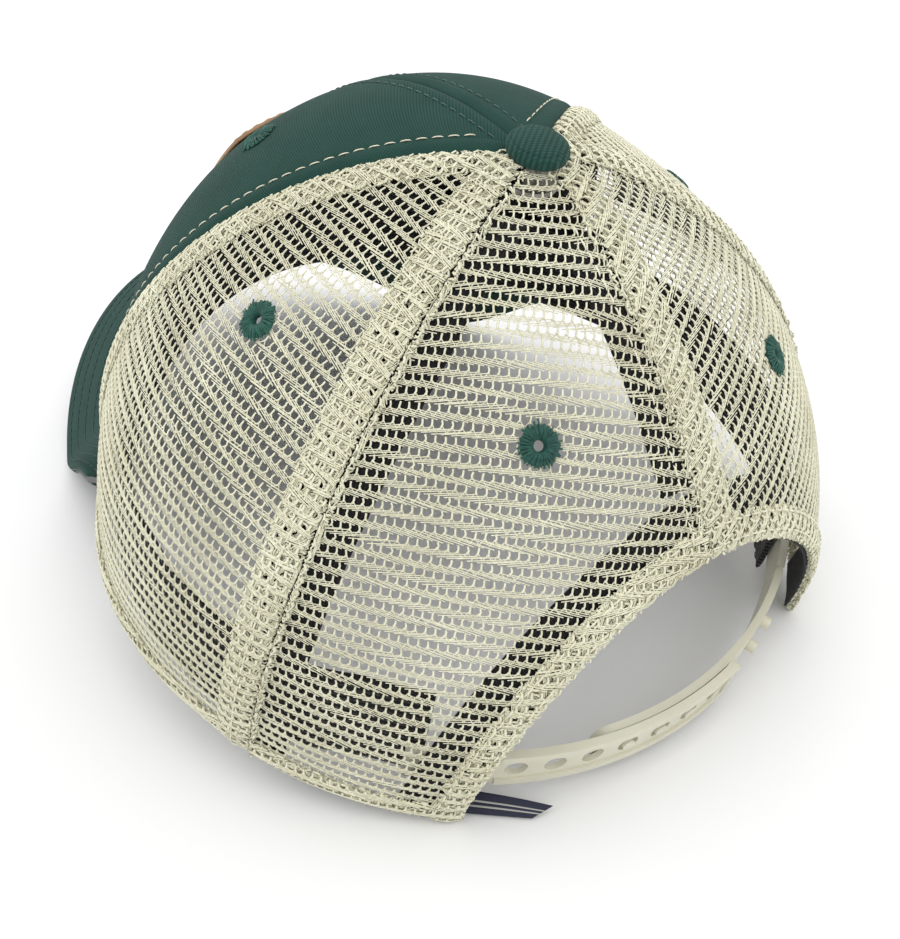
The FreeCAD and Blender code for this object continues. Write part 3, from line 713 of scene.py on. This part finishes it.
HEM_BANDS = (6.5, 6.5)
NET_PANELS = {       # seams, eyelet, turn of the knit, widths of the doubled net beside the seams
    "side_left_mesh": (SIDE_SEAM, REAR_SIDE_SEAM, "eyelet_side_left", 4.0, (7.0, 9.5)),
    "rear_left_mesh": (REAR_SIDE_SEAM, REAR_SEAM, "eyelet_rear_left", -3.0, (1.6, 1.6)),
    "rear_right_mesh": (REAR_SEAM, 180.0 - REAR_SIDE_SEAM, "eyelet_rear_right", 6.0, (9.5, 1.6)),
    "side_right_mesh": (180.0 - REAR_SIDE_SEAM, 180.0 - SIDE_SEAM, "eyelet_side_right", -4.0, (9.5, 7.0)),
}


def make_nets():
    for name, (first, last, eyelet, turn, seam_bands) in NET_PANELS.items():
        panel = Panel(first, last, eyelet, seam_bands + HEM_BANDS)
        vertices, faces = panel.net(net_area, 0.2, turn=turn)
        settle(new_mesh(name + "_net", vertices, faces, net_yarn), "cream_mesh", name)
        layers = [
            panel.net(panel.in_band, -0.35, (0.9, 1.3), turn + 8.0, 1.3, 0.9),
            panel.net(panel.in_band, -0.10, (0.4, 0.6), turn + 88.0, 1.2, 0.7),
            panel.net(panel.in_band, 0.10, (0.2, 0.9), turn + 47.0, 1.2, 0.5),
        ]
        merged_piece(name + "_doubled", layers, net_yarn, "cream_mesh")


# ---------------- twill panels and linings
def front_grid(first, last, depth, columns, rows, lift=0.0, puff=True):
    """Directions, levels and depths of a panel; puff swells it between its seams and stitches."""
    t = np.linspace(first, last, columns)[:, None]
    low = level_at_height(t, hem_rise(t) + lift)
    share = np.linspace(0.0, 1.0, rows)[None, :]
    s = low + (level_at_spread(t, TOP_HOLE) - low) * share
    t = np.broadcast_to(t, s.shape)
    point = crown_surface(t, s)
    scale = np.hypot(point[..., 0], point[..., 1]) * math.pi / 180.0
    edge = np.minimum((t - first) * scale, (last - t) * scale)
    extra = np.zeros(s.shape)
    if puff:
        extra = 0.55 * np.exp(-edge / 0.9) - 0.25 * np.exp(-((edge - 2.6) / 1.5) ** 2)
        extra += 0.16 * np.exp(-((edge - 4.8) / 0.5) ** 2)
    return t, s, depth + extra


def seam_stitches(seam, offset, low_z, depth, top=0.16, **stitch):
    """Stitches that follow a seam at a distance in millimetres along the surface."""
    levels = np.linspace(level_at_height(seam, low_z), level_at_spread(seam, top), 200)
    centre = crown_surface(seam, levels)
    radius = np.hypot(centre[:, 0], centre[:, 1])
    t = seam + np.degrees(offset / radius)
    return crown_stitches(t, levels, depth, **stitch)


def mirrored(t, s, depth):
    """The same grid on the wearer's right."""
    return (-180.0 - t)[::-1], s[::-1], depth[::-1]


def make_front():
    first, last = FRONT_SEAM + PANEL_GAP, SIDE_SEAM - PANEL_GAP
    panel = front_grid(first, last, 0.0, 120, 130)
    backing = front_grid(first, last, BACKING_DEPTH, 60, 70, lift=1.0, puff=False)
    for name, as_seen in (("front_left", lambda *grid: grid), ("front_right", mirrored)):
        t, s, depth = as_seen(*panel)
        drilled_grid(name + "_cloth", t, s, depth, depth + TWILL_THICKNESS,
                     twill, "green_twill", name + "_panel")
        t, s, depth = as_seen(*backing)
        drilled_grid(name + "_lining", t, s, depth, depth + BACKING_THICKNESS,
                     lining, "black_lining", name + "_backing")


def drilled_grid(name, t, s, depth, inner_depth, material, slot, node):
    """Cloth grid with the faces that an eyelet stands in left out."""
    outer, inner = crown_point(t, s, depth), crown_point(t, s, inner_depth)
    vertices, faces, uv = slab_geometry(outer, inner)
    centres = vertices[faces].mean(1)
    eyelets = [crown_surface(*EYELETS[e]) for e in ("eyelet_front_left", "eyelet_front_right")]
    away = np.min([np.linalg.norm(centres - e, axis=1) for e in eyelets], axis=0)
    settle(new_mesh(name, vertices, faces[away > 3.0], material, uv=uv), slot, node)


# ---------------- stitching and edges
def make_stitching():
    cream, dull = [], []
    for sign in (1, -1):
        seam = SIDE_SEAM if sign > 0 else -180.0 - SIDE_SEAM
        rear = REAR_SIDE_SEAM if sign > 0 else 180.0 - REAR_SIDE_SEAM
        low = float(hem_rise(seam)) + 2.0
        cream.append(seam_stitches(seam, -sign * 4.6, low, -0.05, **SHOULDER_STITCH))
        cream.append(seam_stitches(seam, sign * 3.2, low, -0.95, **SEAM_STITCH))
        cream.append(seam_stitches(rear, -sign * 4.6, 2.0, -1.0, **SEAM_STITCH))
        dull.append(seam_stitches(FRONT_SEAM, sign * 4.9, FRONT_RISE + 2.0, -0.05, **FRONT_STITCH))
    cream.append(seam_stitches(REAR_SEAM, -4.6, ARCH_HEIGHT + 4.0, -1.0, **SEAM_STITCH))
    for margin in (2.2, 5.6):
        t, level = arch_edge(np.linspace(3.0, 177.0, 300), margin)
        cream.append(crown_stitches(t, level, -1.0, **ARCH_STITCH))
    merged_piece("topstitch_cream", cream, cream_thread, "cream_mesh")
    merged_piece("topstitch_front", dull, dull_thread, "green_thread")


def looped_edge(t, s, period, reach, depth):
    """Points of a yarn that winds to and fro over an edge given as crown points."""
    path = crown_surface(t, s)
    distance = running_length(path)
    count = int(distance[-1] / period * 8)
    at = np.linspace(0.0, distance[-1], count)
    phase = at / period * 2 * math.pi + 0.8 * np.sin(at * 0.37)
    level_t, level_s = np.interp(at, distance, t), np.interp(at, distance, s)
    centre = crown_point(level_t, level_s, depth + 0.65 * np.sin(phase))
    upward = unit(crown_surface(level_t, level_s + 0.004) - crown_surface(level_t, level_s))
    return centre + upward * (reach * (1.0 + np.cos(phase)))[:, None]


def round_tube(points, radius, sides=6):
    """Round strand through points."""
    tangent = unit(np.gradient(points, axis=0))
    helper = np.where(np.abs(tangent[:, 2:3]) < 0.8, [[0.0, 0.0, 1.0]], [[1.0, 0.0, 0.0]])
    side = unit(np.cross(tangent, helper))
    other = np.cross(tangent, side)
    turn = np.arange(sides) * 2 * math.pi / sides
    ring = np.cos(turn)[None, :, None] * side[:, None] + np.sin(turn)[None, :, None] * other[:, None]
    vertices = points[:, None] + ring * radius
    return vertices.reshape(-1, 3), ring_faces(len(points), sides)


def make_edges():
    """Turned hem and rim of the opening: yarns looped over the fold."""
    arch_t, arch_s = arch_edge(np.linspace(1.5, 178.5, 500), 0.9)
    foot = float(arch_edge(0.0)[0])
    parts = []
    runs = [(arch_t, arch_s)]
    for first, last in ((SIDE_SEAM, foot), (180.0 - foot, 180.0 - SIDE_SEAM)):
        t = np.linspace(first, last, 400)
        runs.append((t, level_at_height(t, hem_rise(t) + 0.9)))
    for t, level in runs:
        for period, reach, depth in ((2.1, 0.45, 0.2), (2.9, 0.6, 0.35), (1.7, 0.9, 0.1)):
            parts.append(round_tube(looped_edge(t, level, period, reach, depth), 0.27, 5))
    merged_piece("hem_loops", parts, net_yarn, "cream_mesh")


# ---------------- inside of the crown
def make_tapes():
    side_foot = float(hem_rise(SIDE_SEAM)) + 3.0
    tapes = {
        "tape_front": (FRONT_SEAM, FRONT_RISE + 1.0, *FRONT_TAPE),
        "tape_front_left": (SIDE_SEAM, side_foot, *FRONT_TAPE),
        "tape_front_right": (-180.0 - SIDE_SEAM, side_foot, *FRONT_TAPE),
        "tape_rear_left": (REAR_SIDE_SEAM, 1.0, *REAR_TAPE),
        "tape_rear_right": (180.0 - REAR_SIDE_SEAM, 1.0, *REAR_TAPE),
        "tape_rear": (REAR_SEAM, ARCH_HEIGHT + 13.0, *REAR_TAPE),
    }
    for name, (seam, low, top, depth) in tapes.items():
        across = np.linspace(-TAPE_HALF_WIDTH, TAPE_HALF_WIDTH, 17)[:, None]
        levels = np.linspace(level_at_height(seam, low), level_at_spread(seam, top), 90)[None, :]
        centre = crown_surface(seam, levels)
        t = seam + np.degrees(across / np.hypot(centre[..., 0], centre[..., 1]))
        levels = np.broadcast_to(levels, t.shape)
        roll = 0.12 * np.cos(np.pi * across / 4.0) + 0.0 * t
        outer = crown_point(t, levels, depth + 0.12 + roll)
        inner = crown_point(t, levels, depth + 0.12 + TAPE_THICKNESS + roll)
        settle(sheet_piece(name + "_cloth", outer, inner, lining), "black_lining", name)
    angles = np.linspace(2.0, 178.0, 160)[:, None]
    margins = np.linspace(*ARCH_TAPE_MARGINS, 14)[None, :]
    t, levels = arch_edge(angles, margins)
    roll = 0.1 * np.cos(np.pi * margins / 4.0) + 0.0 * t
    outer, inner = (crown_point(t, levels, depth + roll) for depth in ARCH_TAPE_DEPTHS)
    settle(sheet_piece("arch_tape_cloth", outer, inner, lining), "black_lining", "arch_tape")


def smooth_step(value):
    value = np.clip(value, 0.0, 1.0)
    return value * value * (3.0 - 2.0 * value)


def sweatband_depth(t):
    """The band lies close to the panels, and leaves room for the strap's sewn ends at the back."""
    nearest = np.minimum(np.abs(t - SWEATBAND_ENDS[0]), np.abs(t - SWEATBAND_ENDS[1]))
    extra = SWEATBAND_END_DEPTH - SWEATBAND_DEPTH
    return SWEATBAND_DEPTH + extra * smooth_step(1.0 + (SWEATBAND_END_FLAT - nearest) / SWEATBAND_END_FADE)


def make_sweatband():
    t = np.linspace(*SWEATBAND_ENDS, 420)[:, None]
    share = np.linspace(0.0, 1.0, 26)[None, :]
    depth = sweatband_depth(t)
    low = level_at_height(t, hem_rise(t) + 1.0)
    high = level_at_height(t, hem_rise(t) + SWEATBAND_HEIGHT)
    levels = low + (high - low) * share
    t = np.broadcast_to(t, levels.shape)
    wrinkle = 0.14 * np.sin(np.radians(t) * 37.0 + 3.0 * share) * share
    edge = np.minimum(share, 1.0 - share) * SWEATBAND_HEIGHT
    rounding = 0.55 * np.exp(-edge / 0.9)
    outer = crown_point(t, levels, depth + wrinkle + rounding)
    inner = crown_point(t, levels, depth + SWEATBAND_THICKNESS + wrinkle - rounding)
    settle(sheet_piece("sweatband_cloth", outer, inner, band_cloth), "black_sweatband", "sweatband")
    rows = []
    for lift in (2.5, SWEATBAND_HEIGHT - 2.0):
        line = np.linspace(SWEATBAND_ENDS[0] + 1.0, SWEATBAND_ENDS[1] - 1.0, 600)
        level = level_at_height(line, hem_rise(line) + lift)
        path = crown_point(line, level, sweatband_depth(line) + SWEATBAND_THICKNESS + 0.1)
        rows.append(stitch_geometry(path, -crown_normal(line, level), **BAND_STITCH))
    merged_piece("sweatband_stitches", rows, lining_thread, "black_sweatband")


def make_patch():
    share_t = np.linspace(-1.0, 1.0, 80)[:, None]
    share_s = np.linspace(-1.0, 1.0, 60)[None, :]
    t = FRONT_SEAM + PATCH_SPREAD * share_t + 0.0 * share_s
    low, high = PATCH_LEVELS
    levels = (low + high) / 2 + (high - low) / 2 * share_s + 0.0 * t
    corner = np.maximum(np.abs(share_t), np.abs(share_s)) + 0.0 * t
    edge = smooth_step((corner - 0.95) / 0.05) * 0.8
    groove = 0.2 * np.exp(-((corner - PATCH_BORDER) / 0.018) ** 2)
    outer = crown_point(t, levels, PATCH_DEPTHS[0] + edge + groove)
    inner = crown_point(t, levels, PATCH_DEPTHS[1] - 0.3 * (corner > 0.99))
    settle(sheet_piece("front_patch_leather", outer, inner, leather), "tan_leather", "front_patch")
    sides = []
    line = np.linspace(-PATCH_BORDER, PATCH_BORDER, 120)
    fixed = np.full_like(line, PATCH_BORDER)
    for x, y in ((line, -fixed), (fixed, line), (-line, fixed), (-fixed, -line)):
        t = FRONT_SEAM + PATCH_SPREAD * x
        level = (low + high) / 2 + (high - low) / 2 * y
        sides.append(crown_stitches(t, level, PATCH_DEPTHS[0] + 0.1, **PATCH_STITCH))
    merged_piece("patch_stitches", sides, tan_thread, "tan_leather")


# ---------------- visor
def visor_root(angle):
    t = FRONT_SEAM + angle * VISOR_SPREAD / 90.0
    rise = hem_rise(t) + VISOR_SEAM_HEIGHT
    root = crown_point(t, level_at_height(t, rise), -VISOR_ROOT_GAP)
    root[..., 2] = rise
    return root


def visor_surface(angle, v):
    """Top face of the visor, as in the CAD."""
    angle, v = np.broadcast_arrays(np.asarray(angle, float), np.asarray(v, float))
    root = visor_root(angle)
    side = np.sin(np.radians(angle))
    ahead = np.cos(np.radians(angle))
    drop = VISOR_FRONT_DROP + VISOR_SIDE_DROP * np.abs(side) ** VISOR_SIDE_POWER
    tip = np.clip((np.abs(side) - VISOR_TIP_FADE) / (1.0 - VISOR_TIP_FADE), 0.0, 1.0)
    edge = np.stack([
        VISOR_HALF_WIDTH * side,
        VISOR_ROOT_Y - VISOR_REACH * ahead ** VISOR_OUTLINE,
        VISOR_SEAM_HEIGHT - drop * (1.0 - tip ** 2),
    ], -1)
    point = root + (edge - root) * v[..., None]
    point[..., 2] += VISOR_ARCH * np.sin(math.pi * v) * ahead
    return point


def visor_normal(angle, v):
    angle = np.clip(angle, -84.0, 84.0)
    along = visor_surface(angle + 1.0, v) - visor_surface(angle - 1.0, v)
    ahead = visor_surface(angle, v + 0.02) - visor_surface(angle, v - 0.02)
    return unit(np.cross(ahead, along))


def visor_layer(angle, v, depth):
    """Point at a depth under the visor's top face, kept clear of the crown along the root."""
    angle, v, depth = np.broadcast_arrays(*(np.asarray(a, float) for a in (angle, v, depth)))
    t = FRONT_SEAM + angle * VISOR_SPREAD / 90.0
    outward = crown_normal(t, level_at_height(t, hem_rise(t)))
    outward[..., 2] = 0.0
    outward = unit(outward)
    back = (visor_normal(angle, 0.0 * v) * outward).sum(-1) * depth * (1.0 - v)
    return visor_surface(angle, v) - visor_normal(angle, v) * depth[..., None] + outward * back[..., None]


def make_visor():
    angle = np.linspace(-VISOR_TIP, VISOR_TIP, 260)
    reach = np.linalg.norm(visor_surface(angle, 1.0) - visor_surface(angle, 0.0), axis=-1)
    stop = 1.0 - np.clip(VISOR_EDGE_RADIUS / reach, 0.0, 0.35)
    turn = np.radians(np.linspace(0.0, 84.0, 9))[None, :]
    share = np.linspace(0.0, 1.0, 60)[None, :]
    wide = angle[:, None]
    for name, top in (("visor_top_cover", True), ("visor_bottom_cover", False)):
        faces = []
        for skin in (0.0, VISOR_COVER):
            depth = skin if top else VISOR_THICKNESS - skin
            v = share * stop[:, None]
            distance = (stop[:, None] - v) * reach[:, None]
            for row in VISOR_STITCH_ROWS:
                groove = 0.22 * np.exp(-((distance + VISOR_EDGE_RADIUS - row) / 0.8) ** 2)
                depth = depth + (groove if top else -groove)
            flat = visor_layer(wide, v, depth)
            centre = visor_layer(wide, stop[:, None] + 0 * turn, VISOR_EDGE_RADIUS)
            normal = visor_normal(wide, stop[:, None]) * (1.0 if top else -1.0)
            ahead = unit(visor_surface(wide, stop[:, None]) - visor_surface(wide, stop[:, None] - 0.02))
            radius = VISOR_EDGE_RADIUS - skin
            rolled = centre + (normal * np.cos(turn)[..., None] + ahead * np.sin(turn)[..., None]) * radius
            faces.append(np.concatenate([flat, rolled[:, 1:]], 1))
        outer, inner = faces
        if top:
            outer, inner = outer[::-1], inner[::-1]
        settle(sheet_piece(name + "_cloth", outer, inner, twill), "green_twill", name)
    rows = []
    for offset in VISOR_STITCH_ROWS:
        line = np.linspace(-VISOR_TIP + 1.0, VISOR_TIP - 1.0, 500)
        long = np.linalg.norm(visor_surface(line, 1.0) - visor_surface(line, 0.0), axis=-1)
        v = 1.0 - offset / long
        line, v = line[v > 0.05], v[v > 0.05]
        normal = visor_normal(line, v)
        top_path = visor_layer(line, v, 0.12)
        low_path = visor_layer(line, v, VISOR_THICKNESS - 0.12)
        rows.append(stitch_geometry(top_path, normal, **VISOR_STITCH))
        rows.append(stitch_geometry(low_path, -normal, **VISOR_STITCH))
    merged_piece("visor_stitches", rows, visor_thread, "green_twill")


# ---------------- button, eyelets, label
def revolved_grid(profile, count):
    """Closed surface of revolution about Z with planar cloth coordinates."""
    profile = np.asarray(profile, float)
    turn = np.linspace(0.0, 2 * math.pi, count, endpoint=False)
    ring = np.stack([np.cos(turn), np.sin(turn)], -1)
    heights = np.repeat(profile[:, None, 1:], count, 1)
    vertices = np.concatenate([profile[:, None, :1] * ring[None], heights], -1)
    return vertices, ring_faces(len(profile), count)


def make_button():
    """Cloth drawn over a dome, gathered under a rolled rim."""
    pinhole = 0.02
    dome = [(BUTTON_RADIUS * math.sin(a) + pinhole, 2 * BUTTON_RIM_HEIGHT + BUTTON_DOME_HEIGHT * math.cos(a))
            for a in np.radians(np.linspace(0.0, 90.0, 22))]
    rim = [(BUTTON_RADIUS + pinhole + BUTTON_RIM_RADIUS * math.sin(a),
            BUTTON_RIM_HEIGHT * (1.0 + math.cos(a))) for a in np.radians(np.linspace(8, 172, 16))]
    underside = [(BUTTON_RADIUS - 0.7, 0.0), (pinhole, 0.0)]
    vertices, faces = revolved_grid(dome + rim + underside, 120)
    angle = np.arctan2(vertices[..., 1], vertices[..., 0])
    beyond = np.hypot(vertices[..., 0], vertices[..., 1]) > BUTTON_RADIUS - 0.4
    near_rim = np.exp(-((vertices[..., 2] - 1.2) / 1.2) ** 2) * beyond
    gather = 1.0 + 0.014 * near_rim * np.sin(angle * 14.0 + 0.6 * np.sin(angle * 3.0))
    vertices[..., :2] *= gather[..., None]
    uv = vertices[..., :2].reshape(-1, 2) * 0.001
    vertices = vertices.reshape(-1, 3) + np.array([0.0, 0.0, CROWN_HEIGHT + BUTTON_LIFT])
    settle(new_mesh("button_cloth", vertices, faces, button_twill, uv=uv), "green_twill", "button")


EYELET_BASE = (              # radius and height of the ring under the stitches
    (1.3, -0.9), (1.35, 0.35), (2.1, 0.7), (3.5, 0.55), (4.1, 0.15), (3.9, -0.1), (3.3, -1.0), (1.3, -0.9),
)
EYELET_REACH = 4.15


def make_eyelets():
    """Rings worked in satin stitch, with uneven outer ends."""
    for name, (t, s) in EYELETS.items():
        centre = crown_surface(t, s)
        normal = crown_normal(np.array(t), np.array(s))
        side = unit(np.cross([0.0, 0.0, 1.0], normal))
        up = np.cross(normal, side)
        parts = []
        for layer, count in ((0.0, 54), (0.16, 44)):
            angles = (np.arange(count) + layer) * 2 * math.pi / count + random.normal(0.0, 0.03, count)
            ends = EYELET_REACH + np.abs(random.normal(0.0, 0.38, count)) - layer
            for angle, end in zip(angles, ends):
                skew = random.normal(0.0, 0.10)
                radius = np.array([1.25, 1.5, 2.5, 0.5 * (2.5 + end), end])
                height = np.array([-0.9, 0.55, 0.95, 0.75, 0.05]) + layer * 1.2
                turn = angle + skew * np.linspace(-0.5, 1.0, 5)
                points = (centre + np.outer(radius * np.cos(turn), side) + np.outer(radius * np.sin(turn), up)
                          + np.outer(height, normal))
                parts.append(round_tube(points, 0.18, 5))
        base, base_faces = revolved_grid(EYELET_BASE, 40)
        base = base.reshape(-1, 3)
        base = centre + base[:, :1] * side + base[:, 1:2] * up + base[:, 2:] * normal
        parts.append((base, base_faces))
        merged_piece(name + "_stitched", parts, green_thread, "green_thread", name)


def make_label():
    """Woven label folded double, with plain stripes; it leans out from under the hem."""
    low_corner, high_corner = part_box("woven_label")
    low_start, low_end, high_start, high_end = np.array(LABEL_CORNERS)
    along = np.linspace(0.0, 1.0, 40)[:, None, None]
    up = np.linspace(0.0, 1.0, 16)[None, :, None]
    low = low_start + (low_end - low_start) * along
    high = high_start + (high_end - high_start) * along
    belly = np.array([0.0, 0.0, LABEL_BELLY]) * np.sin(math.pi * along) * up
    face = low + (high - low) * up + belly
    normal = unit(np.cross(low_end - low_start, high_start - low_start))
    face = face + normal * 0.05 * np.sin(up * math.pi)
    loops = np.concatenate([face, (face - normal * LABEL_THICKNESS)[:, ::-1]], 1)
    wanted = 500.0 * (np.array(low_corner) + np.array(high_corner))
    shift = wanted - 0.5 * (loops.min((0, 1)) + loops.max((0, 1)))
    shift[2] = low_corner.z * 1000.0 - loops[..., 2].min()
    loops = loops + shift
    rows, columns = loops.shape[:2]
    index = np.arange(rows * columns).reshape(rows, columns)
    faces = np.stack([index[:-1, :-1], index[1:, :-1], index[1:, 1:], index[:-1, 1:]], -1).reshape(-1, 4)
    across = np.linspace(0.0, LABEL_FLAT[0], rows)
    climb = np.linspace(0.0, LABEL_STRIPED, columns // 2)
    height = np.concatenate([climb, climb[::-1]])
    uv = np.stack(np.meshgrid(across, height, indexing="ij"), -1).reshape(-1, 2)
    piece = row_mesh("hem_label", loops.reshape(-1, 3) * 0.001, faces, label_weave, uv)
    settle(piece, "navy_label", "woven_label")


# ---------------- scene
def make_camera():
    """Camera behind and above the wearer's left side, without shift."""
    turn, rise, roll = (math.radians(angle) for angle in (CAMERA_TURN, CAMERA_RISE, CAMERA_ROLL))
    back = Vector((math.cos(turn) * math.cos(rise), math.sin(turn) * math.cos(rise), math.sin(rise)))
    right = Vector((-math.sin(turn), math.cos(turn), 0.0))
    up = back.cross(right)
    right, up = right * math.cos(roll) + up * math.sin(roll), up * math.cos(roll) - right * math.sin(roll)
    place = Vector(CROWN_ORIGIN) + Vector(CAMERA_AIM) + back * CAMERA_DISTANCE
    camera = bpy.data.cameras.new("camera")
    camera.sensor_fit = "HORIZONTAL"
    camera.sensor_width = 36.0
    camera.lens = CAMERA_LENS
    camera.clip_start = 0.01
    item = link("camera", camera)
    item.matrix_world = Matrix.Translation(place) @ Matrix((right, up, back)).transposed().to_4x4()
    bpy.context.scene.camera = item


def sun_light(name, turn, lean, spread, power):
    """Soft light from above; it leans away from the vertical, in degrees."""
    light = bpy.data.lights.new(name, "SUN")
    light.angle = math.radians(spread)
    light.energy = power
    link(name, light).rotation_euler = (math.radians(lean), 0.0, math.radians(turn))


def make_stage():
    """Pale floor, white surroundings and two soft suns."""
    material, nodes, links, shader = new_material("floor")
    tone = noise(nodes, links, object_vector(nodes), 3.0, 2.0)
    links.new(ramp(nodes, links, tone, [(0.3, (0.80, 0.80, 0.80)), (0.7, (0.83, 0.83, 0.83))]),
              shader.inputs["Base Color"])
    set_inputs(shader, Roughness=0.8)
    size = 30.0
    corners = np.array([(-size, -size, 0.0), (size, -size, 0.0), (size, size, 0.0), (-size, size, 0.0)])
    row_mesh("floor", corners, [(0, 1, 2, 3)], material)
    world = bpy.data.worlds.new("studio")
    world.use_nodes = True
    world.node_tree.nodes["Background"].inputs["Color"].default_value = (1.0, 1.0, 1.0, 1.0)
    world.node_tree.nodes["Background"].inputs["Strength"].default_value = 1.0
    bpy.context.scene.world = world
    sun_light("key", 60.0, 20.0, 60.0, 0.6)
    sun_light("top", -150.0, 15.0, 90.0, 0.7)
    bpy.context.scene.view_settings.view_transform = "Standard"


make_camera()
make_stage()
make_nets()
make_front()
make_stitching()
make_edges()
make_tapes()
make_sweatband()
make_patch()
make_visor()
make_button()
make_eyelets()
make_label()

KEPT_NODES = {
    "hole_strap": plastic, "peg_strap": plastic, "hole_strap_tab": plastic, "peg_strap_tab": plastic,
    "visor_board": board, "button_rivet": metal,
}
for node, material in KEPT_NODES.items():
    materials = frame["nodes"][node].data.materials
    materials.clear()
    materials.append(material)
